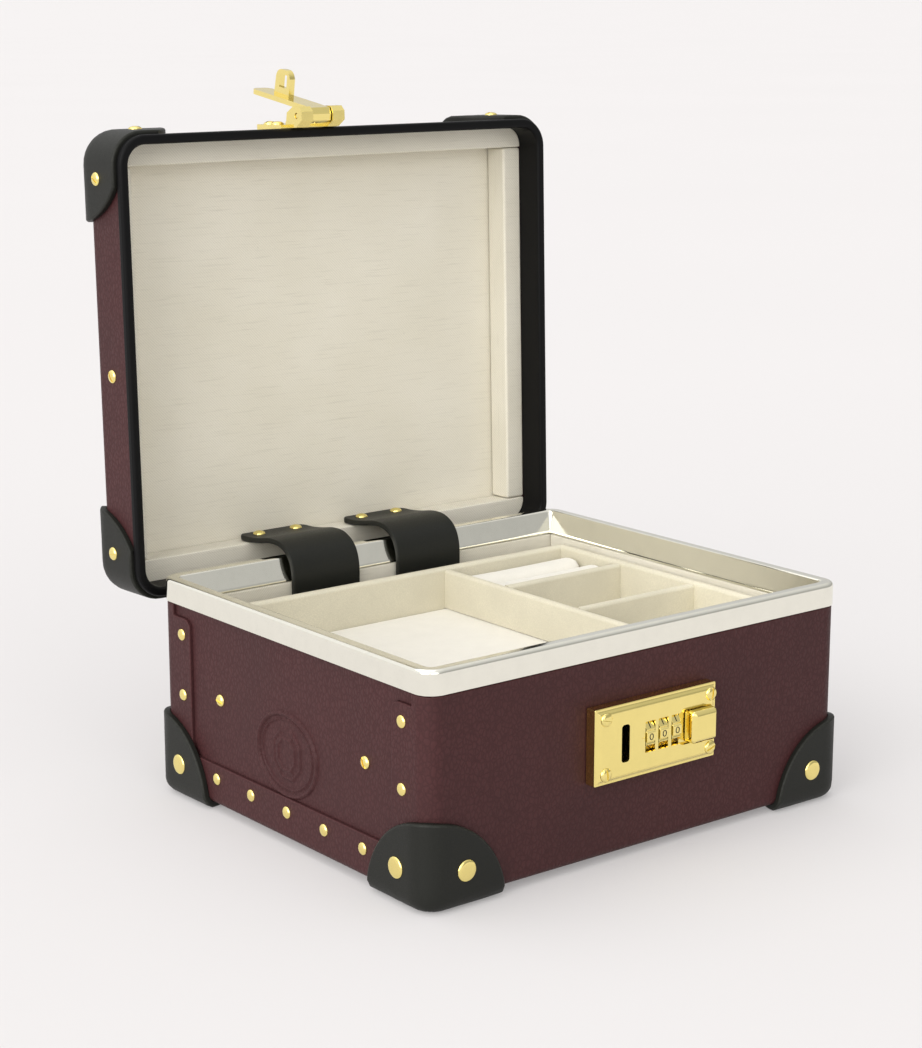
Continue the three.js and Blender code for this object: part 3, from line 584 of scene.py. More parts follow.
@dataclass(frozen=True)
class MetalFinish(Finish):
    """Polished plate over metal.

    Attributes:
        wave_mm: How deep the surface's slow waves are.
        smudge: How much handling roughens it.
    """

    wave_mm: float = 0.02
    smudge: float = 0.04

    def paint(self, sheet: NodeSheet, shader: bpy.types.Node) -> None:
        """Wires the polish, smudges and slow waves of the metal to its shader.

        Args:
            sheet: Where the nodes go.
            shader: The surface's Principled node.
        """
        place = sheet.add("ShaderNodeTexCoord").outputs["Object"]
        shader.inputs["Metallic"].default_value = 1.0
        cloud = sheet.ramp(sheet.noise(place, 160.0, 4.0, 0.6), 0.4, 0.7)
        streaks = sheet.add("ShaderNodeMapping", {0: place, 3: (60.0, 60.0, 2600.0)}).outputs[0]
        brushed = sheet.noise(streaks, 1.0, 3.0, 0.6)
        sheet.feed(shader.inputs["Base Color"], sheet.mix(cloud, self.shade(1.0), self.shade(0.97)))
        rough = sheet.scaled(cloud, self.smudge, self.roughness)
        rough = sheet.scaled(brushed, 0.03, rough)
        sheet.feed(shader.inputs["Roughness"], rough)
        waves = sheet.noise(place, 70.0, 2.0, 0.4)
        fine = sheet.times(brushed, 0.02)
        height = sheet.math("ADD", waves, fine)
        sheet.feed(shader.inputs["Normal"], self.bump(sheet, height, self.wave_mm, 1.0))


@dataclass(frozen=True)
class InkFinish(Finish):
    """Dark filling in cut figures and gaps."""

    def paint(self, sheet: NodeSheet, shader: bpy.types.Node) -> None:
        """Wires a little unevenness to the filling's shader.

        Args:
            sheet: Where the nodes go.
            shader: The surface's Principled node.
        """
        place = sheet.add("ShaderNodeTexCoord").outputs["Object"]
        uneven = sheet.noise(place, 3000.0, 3.0, 0.6)
        sheet.feed(shader.inputs["Base Color"], sheet.mix(uneven, self.shade(0.7), self.shade(1.4)))
        rough = sheet.scaled(uneven, 0.2, self.roughness - 0.1)
        sheet.feed(shader.inputs["Roughness"], rough)
        sheet.feed(shader.inputs["Normal"], self.bump(sheet, uneven, 0.01, 0.5))


BURGUNDY = HideFinish(
    "Burgundy fibre", "burgundy_fibre", (67, 37, 38), 0.5, pebble_mm=1.7, depth_mm=0.13,
    edge_factor=1.5, crease_factor=0.65, stretch=0.7, shine=0.2,
)
BLACK_HIDE = HideFinish(
    "Black waxed leather", "black_leather", (27, 28, 24), 0.44, pebble_mm=0.7, depth_mm=0.025,
    edge_factor=2.4, shine=0.24,
)
BINDING = HideFinish(
    "Black binding leather", "black_leather", (11, 11, 12), 0.4, pebble_mm=0.6, depth_mm=0.015,
    edge_factor=1.5, shine=0.12,
)
CREAM_HIDE = HideFinish(
    "Cream grained leather", "cream_leather", (214, 208, 187), 0.52, pebble_mm=0.75,
    depth_mm=0.05, edge_factor=1.1, crease_factor=0.82,
)
LINEN = LinenFinish("Natural linen", "linen", (244, 239, 223), 0.9)
SUEDE = NapFinish("Ivory suede", "suede", (232, 229, 220), 0.95)
NICKEL = MetalFinish("Polished nickel", "nickel", (240, 238, 226), 0.07, wave_mm=0.05)
GOLD = MetalFinish("Polished brass", "brass", (248, 229, 146), 0.1, wave_mm=0.012)
INK = InkFinish("Black filling", "brass", (20, 17, 10), 0.6)


# ------------------------------------------------------------------ shapes
def placed(name: str, data: bpy.types.ID) -> bpy.types.Object:
    """Puts a new object with this data into the scene."""
    made = bpy.data.objects.new(name, data)
    bpy.context.scene.collection.objects.link(made)
    return made


def mesh_from(name: str, shape: Shape) -> bpy.types.Mesh:
    """Turns a shape into a mesh, and uses the shape up."""
    mesh = bpy.data.meshes.new(name)
    shape.to_mesh(mesh)
    shape.free()
    return mesh


def move(shape: Shape, matrix: Matrix) -> None:
    """Moves all of a shape."""
    bmesh.ops.transform(shape, matrix=matrix, verts=shape.verts)


def shape_from(points: Sequence[Sequence[float]], faces: Iterable[Sequence[int]]) -> Shape:
    """Makes a shape from points and faces, with its faces turned outwards.

    Args:
        points: The corners, in millimetres.
        faces: Each face's corner numbers.

    Returns:
        The shape.
    """
    shape = bmesh.new()
    verts = [shape.verts.new(p) for p in points]
    for face in faces:
        shape.faces.new([verts[i] for i in face])
    bmesh.ops.recalc_face_normals(shape, faces=shape.faces)
    return shape


@dataclass(frozen=True)
class Outline:
    """A rectangle with round corners in plan, that can be offset.

    Attributes:
        x: Its left and right sides.
        y: Its front and back sides.
        radius: Its corners' radius.
        steps: How many steps each corner has.
    """

    x: Pair
    y: Pair
    radius: float
    steps: int = 12
    support: float = 0.7

    def loop(self, grow: float) -> list[Pair]:
        """Gives the outline's points, counterclockwise, offset outwards.

        Args:
            grow: The offset. Corners never get sharper than a tenth of a millimetre.

        Returns:
            The same number of points for any offset.
        """
        radius = max(self.radius + grow, 0.1)
        x0, x1 = self.x[0] - grow, self.x[1] + grow
        y0, y1 = self.y[0] - grow, self.y[1] + grow
        centres = [
            (x1 - radius, y0 + radius, -90),
            (x1 - radius, y1 - radius, 0),
            (x0 + radius, y1 - radius, 90),
            (x0 + radius, y0 + radius, 180),
        ]
        points: list[Pair] = []
        for cx, cy, start in centres:
            arc = []
            for step in range(self.steps + 1):
                angle = math.radians(start + 90 * step / self.steps)
                arc.append((cx + radius * math.cos(angle), cy + radius * math.sin(angle)))
            entry = math.radians(start)
            leave = math.radians(start + 90)
            before = (arc[0][0] + self.support * math.sin(entry),
                      arc[0][1] - self.support * math.cos(entry))
            after = (arc[-1][0] - self.support * math.sin(leave),
                     arc[-1][1] + self.support * math.cos(leave))
            points += [before, *arc, after]
        return points


def swept(outline: Outline, profile: Sequence[Pair], closed: bool = True) -> Shape:
    """Sweeps a profile round an outline.

    Args:
        outline: The outline in plan.
        profile: The profile's offsets from the outline and heights.
        closed: True for a ring. False for a block whose first and last loops are capped.

    Returns:
        The closed shape.
    """
    loops = [[(x, y, z) for x, y in outline.loop(grow)] for grow, z in profile]
    count = len(loops[0])
    points = [p for loop in loops for p in loop]
    faces = []
    rows = len(loops) if closed else len(loops) - 1
    for row in range(rows):
        a, b = row * count, ((row + 1) % len(loops)) * count
        for i in range(count):
            j = (i + 1) % count
            faces.append((a + i, a + j, b + j, b + i))
    if not closed:
        faces.append(list(range(count)))
        faces.append([(len(loops) - 1) * count + i for i in range(count)])
    return shape_from(points, faces)


def arc(centre: Pair, radius: float, start: float, end: float, steps: int = 4) -> list[Pair]:
    """Gives the points of an arc, both ends included, from its angles in degrees."""
    angles = [math.radians(start + (end - start) * i / steps) for i in range(steps + 1)]
    return [(centre[0] + radius * math.cos(a), centre[1] + radius * math.sin(a)) for a in angles]


def prism(outline: Sequence[Pair], x: Pair) -> Shape:
    """Draws an outline in y and z out along x.

    Args:
        outline: The points in y and z.
        x: Where it starts and ends.

    Returns:
        The closed shape.
    """
    count = len(outline)
    points = [(x[0], y, z) for y, z in outline] + [(x[1], y, z) for y, z in outline]
    faces: list[Sequence[int]] = [list(range(count)), list(range(count, 2 * count))]
    faces += [(i, (i + 1) % count, count + (i + 1) % count, count + i) for i in range(count)]
    return shape_from(points, faces)


def block(low: Sequence[float], high: Sequence[float]) -> Shape:
    """Makes a plain block between two corners, to be cut with or softened.

    Args:
        low: Its lowest corner.
        high: Its highest corner.

    Returns:
        The closed shape.
    """
    y, z = (low[1], high[1]), (low[2], high[2])
    corners = [(y[0], z[0]), (y[1], z[0]), (y[1], z[1]), (y[0], z[1])]
    return prism(corners, (low[0], high[0]))


def soften(shape: Shape, width: float, segments: int = 3, angle: float = 28.0) -> Shape:
    """Rounds the shape's edges.

    Args:
        shape: The shape, which is changed.
        width: The width of the rounding.
        segments: How many facets it has.
        angle: Edges flatter than this many degrees are left.

    Returns:
        The same shape.
    """
    limit = math.radians(angle)
    edges = [e for e in shape.edges if len(e.link_faces) == 2 and e.calc_face_angle(0) > limit]
    painted_edge_highlight = shape.faces.layers.float.get(PAINTED_EDGE_HIGHLIGHT) or shape.faces.layers.float.new(PAINTED_EDGE_HIGHLIGHT)
    made = bmesh.ops.bevel(
        shape,
        geom=edges,
        offset=width,
        segments=segments,
        profile=0.5,
        affect="EDGES",
        clamp_overlap=True,
    )
    # the rounded faces are marked to get the painted edge highlight
    for face in made["faces"]:
        face[painted_edge_highlight] = 1.0
    return shape


def carve(shape: Shape, *cutters: Shape, operation: str = "DIFFERENCE") -> Shape:
    """Cuts, joins or trims a shape by others, which are used up.

    Args:
        shape: The shape that is worked on.
        cutters: The other shapes.
        operation: The boolean modifier's operation.

    Returns:
        The new shape.
    """

    def loose(part: Shape, name: str) -> bpy.types.Object:
        """Turns a shape into an object for the modifier.

        Args:
            part: The shape, which is used up.
            name: The object's name.

        Returns:
            The object.
        """
        mesh = mesh_from(name, part)
        made = placed(name, mesh)
        return made

    work = loose(shape, "work")
    tools = [loose(cutter, "tool") for cutter in cutters]
    for tool in tools:
        modifier = work.modifiers.new("carve", "BOOLEAN")
        modifier.operation = operation
        modifier.solver = "EXACT"
        modifier.object = tool
    graph = bpy.context.evaluated_depsgraph_get()
    result = bmesh.new()
    result.from_mesh(bpy.data.meshes.new_from_object(work.evaluated_get(graph)))
    bmesh.ops.remove_doubles(result, verts=result.verts, dist=0.005)
    bmesh.ops.dissolve_limit(
        result, angle_limit=math.radians(0.5), verts=result.verts, edges=result.edges
    )
    for used in [work, *tools]:
        bpy.data.objects.remove(used)
    return result


def cad_shape(node: str, seat: Seat) -> Shape:
    """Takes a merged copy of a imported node, in its seat's millimetres.

    Args:
        node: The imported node's name.
        seat: The seat to bring it back to.

    Returns:
        The shape, with flat stretches as single faces.
    """
    shape = bmesh.new()
    shape.from_mesh(frame["nodes"][node].data)
    move(shape, seat.place.inverted())
    bmesh.ops.remove_doubles(shape, verts=shape.verts, dist=0.002)
    bmesh.ops.dissolve_limit(
        shape, angle_limit=math.radians(1.0), verts=shape.verts, edges=shape.edges
    )
    return shape


def lay_cloth(shape: Shape) -> None:
    """Gives a shape a map in millimetres, laid on each face from the side it faces.

    Args:
        shape: The shape, in its seat's millimetres.
    """
    layer = shape.loops.layers.uv.new("Cloth")
    for face in shape.faces:
        flat = [abs(c) for c in face.normal]
        facing = flat.index(max(flat))
        first, second = [(1, 2), (0, 2), (0, 1)][facing]
        for loop in face.loops:
            loop[layer].uv = (loop.vert.co[first], loop.vert.co[second])


def add_piece(
    name: str,
    shape: Shape,
    seat: Seat,
    finish: Finish,
    stands_for: Sequence[str] = (),
    sharp: float = 36.0,
) -> bpy.types.Object:
    """Turns a shape into a piece of the case.

    Args:
        name: The piece's name.
        shape: The shape in its seat's millimetres, which is used up.
        seat: Where it goes and what it moves with.
        finish: Its finish.
        stands_for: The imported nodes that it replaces.
        sharp: Edges sharper than this many degrees stay crisp.

    Returns:
        The piece.
    """
    if isinstance(finish, LinenFinish):
        lay_cloth(shape)
    move(shape, seat.place)
    mesh = mesh_from(name, shape)
    return add_mesh(name, mesh, seat, finish, stands_for, sharp)


def add_mesh(
    name: str,
    mesh: bpy.types.Mesh,
    seat: Seat,
    finish: Finish,
    stands_for: Sequence[str] = (),
    sharp: float = 36.0,
) -> bpy.types.Object:
    """Turns a mesh that is already in its place into a piece of the case.

    Args:
        name: The piece's name.
        mesh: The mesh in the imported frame.
        seat: What it moves with.
        finish: Its finish.
        stands_for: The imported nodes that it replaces.
        sharp: Edges sharper than this many degrees stay crisp.

    Returns:
        The piece.
    """
    mesh.polygons.foreach_set("use_smooth", [True] * len(mesh.polygons))
    mesh.set_sharp_from_angle(angle=math.radians(sharp))
    if not mesh.materials:
        mesh.materials.append(finish.material())
    even = evened(mesh)
    even.name = name
    piece = placed(name, even)
    if seat.body:
        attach(piece, seat.body)
    if stands_for:
        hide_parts(*stands_for)
    log.info("%s: %d faces on %s", name, len(mesh.polygons), seat.body)
    return piece


def evened(mesh: bpy.types.Mesh) -> bpy.types.Mesh:
    """Weighs a mesh's normals by its faces' areas, so that flat stretches look flat.

    Args:
        mesh: The mesh, with its sharp edges marked.

    Returns:
        A new mesh.
    """
    holder = placed("even", mesh)
    modifier = holder.modifiers.new("even", "WEIGHTED_NORMAL")
    modifier.keep_sharp = True
    return plain_mesh(holder)


# ------------------------------------------------------------------ rivets and screws
def head_tree() -> bpy.types.NodeTree:
    """Builds the tree that sets a metal head on every point, facing where the point says.

    Returns:
        The tree. Its sizes are in millimetres, and its points are in metres.
    """
    name = "Metal heads"
    if name in bpy.data.node_groups:
        return bpy.data.node_groups[name]
    tree = bpy.data.node_groups.new(name, "GeometryNodeTree")
    tree.interface.new_socket("Points", in_out="INPUT", socket_type="NodeSocketGeometry")
    for label in ("Radius", "Crown", "Bed", "Flatness", "Slot Width", "Slot Depth"):
        tree.interface.new_socket(label, in_out="INPUT", socket_type=FLOAT)
    tree.interface.new_socket("Slotted", in_out="INPUT", socket_type="NodeSocketBool")
    tree.interface.new_socket("Finish", in_out="INPUT", socket_type="NodeSocketMaterial")
    tree.interface.new_socket("Heads", in_out="OUTPUT", socket_type="NodeSocketGeometry")
    sheet = NodeSheet(tree)
    given = sheet.add("NodeGroupInput").outputs
    ball = sheet.add("GeometryNodeMeshUVSphere", {"Segments": 28, "Rings": 18, "Radius": 1.0})
    split = sheet.add("ShaderNodeSeparateXYZ", {0: sheet.add("GeometryNodeInputPosition").outputs[0]})
    x, y, z = split.outputs
    squares = sheet.math("ADD", sheet.times(x, x), sheet.times(y, y))
    reach = sheet.math("SQRT", squares)
    inner = sheet.math("MINIMUM", reach, 1.0)
    dome = sheet.math("SUBTRACT", 1.0, sheet.math("POWER", inner, given["Flatness"]))
    dome = sheet.math("POWER", sheet.math("MAXIMUM", dome, 0.0), 0.5)
    above = sheet.math("GREATER_THAN", z, 0.0)
    below = sheet.times(sheet.math("SUBTRACT", above, 1.0), given["Bed"])
    tall = sheet.scaled(above, given["Crown"], below)
    place = sheet.add(
        "ShaderNodeCombineXYZ",
        {
            0: sheet.times(x, given["Radius"]),
            1: sheet.times(y, given["Radius"]),
            2: sheet.times(dome, tall),
        },
    )
    domed = sheet.add(
        "GeometryNodeSetPosition", {"Geometry": ball.outputs[0], "Position": place.outputs[0]}
    )
    size = sheet.add(
        "ShaderNodeCombineXYZ",
        {0: 20.0, 1: given["Slot Width"], 2: sheet.times(given["Slot Depth"], 2.0)},
    )
    blade = sheet.add("GeometryNodeMeshCube", {"Size": size.outputs[0]})
    lift = sheet.add("ShaderNodeCombineXYZ", {2: given["Crown"]})
    raised = sheet.add(
        "GeometryNodeTransform", {"Geometry": blade.outputs[0], "Translation": lift.outputs[0]}
    )
    slotted = sheet.add(
        "GeometryNodeMeshBoolean",
        {"Mesh 1": domed.outputs[0], "Mesh 2": raised.outputs[0]},
        operation="DIFFERENCE",
    )
    chosen = sheet.add(
        "GeometryNodeSwitch",
        {"Switch": given["Slotted"], "False": domed.outputs[0], "True": slotted.outputs[0]},
        input_type="GEOMETRY",
    )
    facing = sheet.add("GeometryNodeInputNamedAttribute", {0: "facing"}, data_type="FLOAT_VECTOR")
    turn = sheet.add("GeometryNodeInputNamedAttribute", {0: "turn"}, data_type="FLOAT")
    aimed = sheet.add("FunctionNodeAlignRotationToVector", {"Vector": facing.outputs[0]}, axis="Z")
    spin = sheet.add("FunctionNodeAxisAngleToRotation", {0: (0.0, 0.0, 1.0), 1: turn.outputs[0]})
    turned = sheet.add(
        "FunctionNodeRotateRotation",
        {0: aimed.outputs[0], 1: spin.outputs[0]},
        rotation_space="LOCAL",
    )
    spread = sheet.add(
        "GeometryNodeInstanceOnPoints",
        {
            "Points": given["Points"],
            "Instance": chosen.outputs[0],
            "Rotation": turned.outputs[0],
            "Scale": (MM, MM, MM),
        },
    )
    real = sheet.add("GeometryNodeRealizeInstances", {0: spread.outputs[0]})
    coated = sheet.add(
        "GeometryNodeSetMaterial", {"Geometry": real.outputs[0], "Material": given["Finish"]}
    )
    result = sheet.add("NodeGroupOutput")
    sheet.feed(result.inputs[0], coated.outputs[0])
    return tree


class HeadKind(Enum):
    """The metal heads, as radius, crown, bed, flatness, slot width and slot depth."""

    FLAP_RIVET = (2.4, 1.05, 0.6, 2.4, 0.0, 0.0)
    CORNER_RIVET = (4.0, 0.8, 1.2, 5.0, 0.0, 0.0)
    STRAP_RIVET = (2.6, 1.45, 0.6, 2.1, 0.0, 0.0)
    PANEL_SCREW = (2.5, 1.4, 0.6, 2.2, 0.9, 0.75)
    LID_SCREW = (2.7, 1.2, 0.8, 2.3, 0.65, 0.6)
    LOCK_SCREW = (2.6, 1.05, 0.4, 2.2, 0.75, 0.6)
    HINGE_SCREW = (1.5, 0.5, 0.4, 3.0, 0.5, 0.35)


@dataclass(frozen=True)
class Spot:
    """Where a head sits, which way it faces and how far it is turned, in degrees."""

    at: Point
    facing: Point
    turn: float = 0.0


def add_heads(
    name: str,
    kind: HeadKind,
    spots: Sequence[Spot],
    seat: Seat,
    finish: Finish,
    stands_for: Sequence[str] = (),
) -> bpy.types.Object:
    """Sets metal heads on their spots, as one piece.

    Args:
        name: The piece's name.
        kind: Which head it is.
        spots: Where the heads are, in the seat's millimetres.
        seat: What they move with.
        finish: Their finish.
        stands_for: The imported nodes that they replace.

    Returns:
        The piece.
    """
    spread = bpy.data.meshes.new(name + "_spots")
    spread.from_pydata([seat.place @ Vector(s.at) for s in spots], [], [])
    spread.attributes.new("facing", "FLOAT_VECTOR", "POINT")
    spread.attributes.new("turn", "FLOAT", "POINT")
    facing, turn = spread.attributes["facing"], spread.attributes["turn"]
    for index, spot in enumerate(spots):
        facing.data[index].vector = (seat.place.to_3x3() @ Vector(spot.facing)).normalized()
        turn.data[index].value = math.radians(spot.turn)
    holder = placed(name + "_spots", spread)
    modifier = holder.modifiers.new("heads", "NODES")
    modifier.node_group = head_tree()
    radius, crown, bed, flatness, slot_width, slot_depth = kind.value
    values = {
        "Radius": radius,
        "Crown": crown,
        "Bed": bed,
        "Flatness": flatness,
        "Slot Width": slot_width,
        "Slot Depth": slot_depth,
        "Slotted": slot_width > 0,
        "Finish": finish.material(),
    }
    set_inputs(modifier, values)
    mesh = plain_mesh(holder)
    return add_mesh(name, mesh, seat, finish, stands_for, sharp=32.0)


def set_inputs(modifier: bpy.types.Modifier, values: dict[str, object]) -> None:
    """Sets a node modifier's inputs, each by the identifier of its socket.

    Args:
        modifier: The modifier.
        values: The value for each input's name.
    """
    for item in modifier.node_group.interface.items_tree:
        if item.in_out == "INPUT" and item.name in values:
            modifier[item.identifier] = values[item.name]


def plain_mesh(holder: bpy.types.Object) -> bpy.types.Mesh:
    """Turns what an object's modifiers make into a plain mesh, and removes the object.

    Args:
        holder: The object.

    Returns:
        The new mesh.
    """
    graph = bpy.context.evaluated_depsgraph_get()
    mesh = bpy.data.meshes.new_from_object(holder.evaluated_get(graph))
    bpy.data.objects.remove(holder)
    return mesh


# ------------------------------------------------------------------ leather corners
@dataclass(frozen=True)
class LeatherCorner:
    """A piece of leather bent round one corner of a box with rounded edges.

    Attributes:
        vertex: The box's sharp corner, before rounding.
        inward: The signs that point into the box along x, y and z.
        radius: The radius of the box's upright corner.
        edge: The radius of its flat side's edge.
        reach: How far the leather reaches from the vertex.
        flare: How much further it reaches along the flat side's edges.
        limit: How far it may reach along z.
        thickness: How far its outside stands off the box.
    """

    vertex: Point
    inward: Point
    radius: float
    edge: float
    reach: float = 30.4
    flare: float = 2.2
    limit: float = 1000.0
    thickness: float = LEATHER
    steps: int = 22
    rings: int = 14

    def onto(self, face: int, a: float, b: float, c: float, grow: float) -> Point:
        """Moves a point of the sharp box onto the rounded one.

        Args:
            face: 0 for the side wall, 1 for the flat side and 2 for the front or back wall.
            a: Its distance inwards along x.
            b: Its distance inwards along y.
            c: Its distance inwards along z.
            grow: How far off the surface it is.

        Returns:
            The point in the box's own frame.
        """
        r, e = self.radius, self.edge
        in_corner = a < r and b < r
        away = Vector((a - r, b - r))
        if face == 1:
            depth = r - max(abs(away.x), abs(away.y)) if in_corner else min(a, b)
            off, drop = (e - depth, e) if depth < e else (0.0, 1.0)
            level = 0.0
        else:
            depth = 0.0
            off, drop = (e, e - c) if c < e else (1.0, 0.0)
            level = c
        length = math.hypot(off, drop)
        off, drop = off / length, drop / length
        if (face == 1 and depth < e) or (face != 1 and c < e):
            depth = e - e * off
            level = e - e * drop
        depth -= grow * off
        level -= grow * drop
        if in_corner and away.length > 1e-6:
            plan = Vector((r, r)) + (r - depth) * away.normalized()
        elif (face == 1 and a < b) or face == 0:
            plan = Vector((depth, b))
        else:
            plan = Vector((a, depth))
        local = (plan.x, plan.y, level)
        return tuple(self.vertex[i] + self.inward[i] * local[i] for i in range(3))

    def ray(self, step: int) -> tuple[int, Vector, float]:
        """Gives the face, the direction and the reach of one ray from the vertex.

        Args:
            step: The ray's number, counted round the vertex over the three faces.

        Returns:
            The face's number, the direction inwards on it, and how far the leather reaches.
        """
        face, part = divmod(step, self.steps)
        angle = math.pi / 2 * part / self.steps
        sine, cosine = math.sin(angle), math.cos(angle)
        way = [Vector((0, sine, cosine)), Vector((sine, cosine, 0)), Vector((cosine, 0, sine))][face]
        near_edge = [part, abs(2 * part - self.steps), self.steps - part][face] / self.steps
        reach = self.reach + self.flare * near_edge**3
        if way.z > 1e-6:
            reach = min(reach, self.limit / way.z)
        return face, way, reach

    def build(self) -> Shape:
        """Builds the leather: outside, rounded rim and inside.

        Returns:
            The closed shape.
        """
        soft = 0.9
        inside = 0.05
        profile: list[tuple[float, float, float]] = []
        for ring in range(self.rings + 1):
            profile.append((ring / self.rings, -soft, self.thickness))
        for x, y in arc((-soft, self.thickness - soft), soft, 75, 0, 4):
            profile.append((1.0, x, y))
        profile.append((1.0, 0.0, inside + 0.35))
        profile.append((1.0, -0.3, inside))
        for ring in range(self.rings - 1, -1, -1):
            profile.append((ring / self.rings, -0.3, inside))
        rays = [self.ray(step) for step in range(3 * self.steps)]
        points = []
        for share, shift, grow in profile:
            for face, way, reach in rays:
                spot = way * max(share * (reach + shift), 0.0)
                points.append(self.onto(face, spot.x, spot.y, spot.z, grow))
        count = len(rays)
        faces = []
        for row in range(len(profile) - 1):
            for i in range(count):
                j = (i + 1) % count
                a, b = row * count, (row + 1) * count
                faces.append((a + i, a + j, b + j, b + i))
        shape = shape_from(points, faces)
        # the rim's rounded faces are marked to get the painted edge highlight
        painted_edge_highlight = shape.faces.layers.float.new(PAINTED_EDGE_HIGHLIGHT)
        for index, face in enumerate(shape.faces):
            row = index // count
            face[painted_edge_highlight] = 1.0 if self.rings <= row <= self.rings + 4 else 0.0
        bmesh.ops.remove_doubles(shape, verts=shape.verts, dist=0.001)
        bmesh.ops.recalc_face_normals(shape, faces=shape.faces)
        return shape


# ------------------------------------------------------------------ base
@dataclass(frozen=True)
class EndFlaps:
    """The fibre flaps that fold round the ends of the base.

    Attributes:
        side: How far the front and back flaps reach.
        foot: How high the lower flap is.
        top: How high the front and back flaps are.
        corner: The radius of their upper corners.
        strip: How far in the bare top strip starts.
    """

    side: float = 20.5
    foot: float = 16.5
    top: float = 70.0
    corner: float = 4.0
    strip: float = 9.0

    def window(self, depth: float, height: float, shrink: float = 0.0) -> list[Pair]:
        """Gives the outline of the end panel that the flaps leave bare.

        Args:
            depth: The case's depth.
            height: The height that the outline goes up to.
            shrink: How far inside the flaps' edges it runs.

        Returns:
            The outline's points in y and z.
        """
        front, back = self.side + shrink, depth - self.side - shrink
        low, top, bend = self.foot + shrink, self.top + shrink, self.corner
        near, far = self.strip + shrink, depth - self.strip - shrink
        right = arc((back + bend, top - bend), bend, 180, 90, 6)
        left = arc((front - bend, top - bend), bend, 90, 0, 6)
        rise = [(far, top), (far, height), (near, height), (near, top)]
        return [(front, low), (back, low), *right, *rise, *left]


@dataclass(frozen=True)
class Emblem:
    """A plain stamped mark: an oval ring round a step-cut gem.

    Attributes:
        centre: Its middle in y and z.
        half: Half its width and height.
        relief: How high it stands.
        gem_size: Half the gem's width and height, and how much its corners are cut.
        gem_slope: How wide its sloping sides are.
    """

    centre: Pair = (86.0, 32.6)
    half: Pair = (20.0, 16.4)
    relief: float = 0.9
    gem_size: Point = (9.0, 9.6, 5.2)
    gem_slope: float = 3.6

    def height(self, y: float, z: float) -> float:
        """Gives the relief at a point of the panel, in millimetres.

        Args:
            y: The point's place along the case.
            z: Its height.

        Returns:
            How far the point stands off the panel.
        """
        u, v = (y - self.centre[0]) / self.half[0], (z - self.centre[1]) / self.half[1]
        far = math.hypot(u, v)
        ring = self.bead(far, 0.94, 0.05) + 0.6 * self.bead(far, 0.8, 0.025)
        return self.relief * max(ring, self.gem(abs(u * self.half[0]), v * self.half[1]))

    def bead(self, value: float, middle: float, half: float) -> float:
        """Gives a round ridge's height about a middle value."""
        share = abs(value - middle) / half
        return math.sqrt(1 - share * share) if share < 1 else 0.0

    def gem(self, y: float, z: float) -> float:
        """Gives the height of the gem: sloping sides with ridges along and across them.

        Args:
            y: How far the point is to either side of the gem's middle.
            z: How far it is above the middle.

        Returns:
            The height, as a share of the relief.
        """
        wide, tall, cut = self.gem_size
        inner = min(wide - y, tall - abs(z), (wide + tall - cut - y - abs(z)) / math.sqrt(2))
        if inner < 0:
            return 0.0
        slope = min(inner / self.gem_slope, 1.0)
        ridge = max(self.bead(inner, 0.7, 0.7), self.bead(inner, 3.8, 0.6))
        if inner < self.gem_slope:
            ridge = max(ridge, self.bead(abs(y - 0.55 * abs(z)), 0, 0.5))
        return 0.5 * slope + 0.5 * ridge


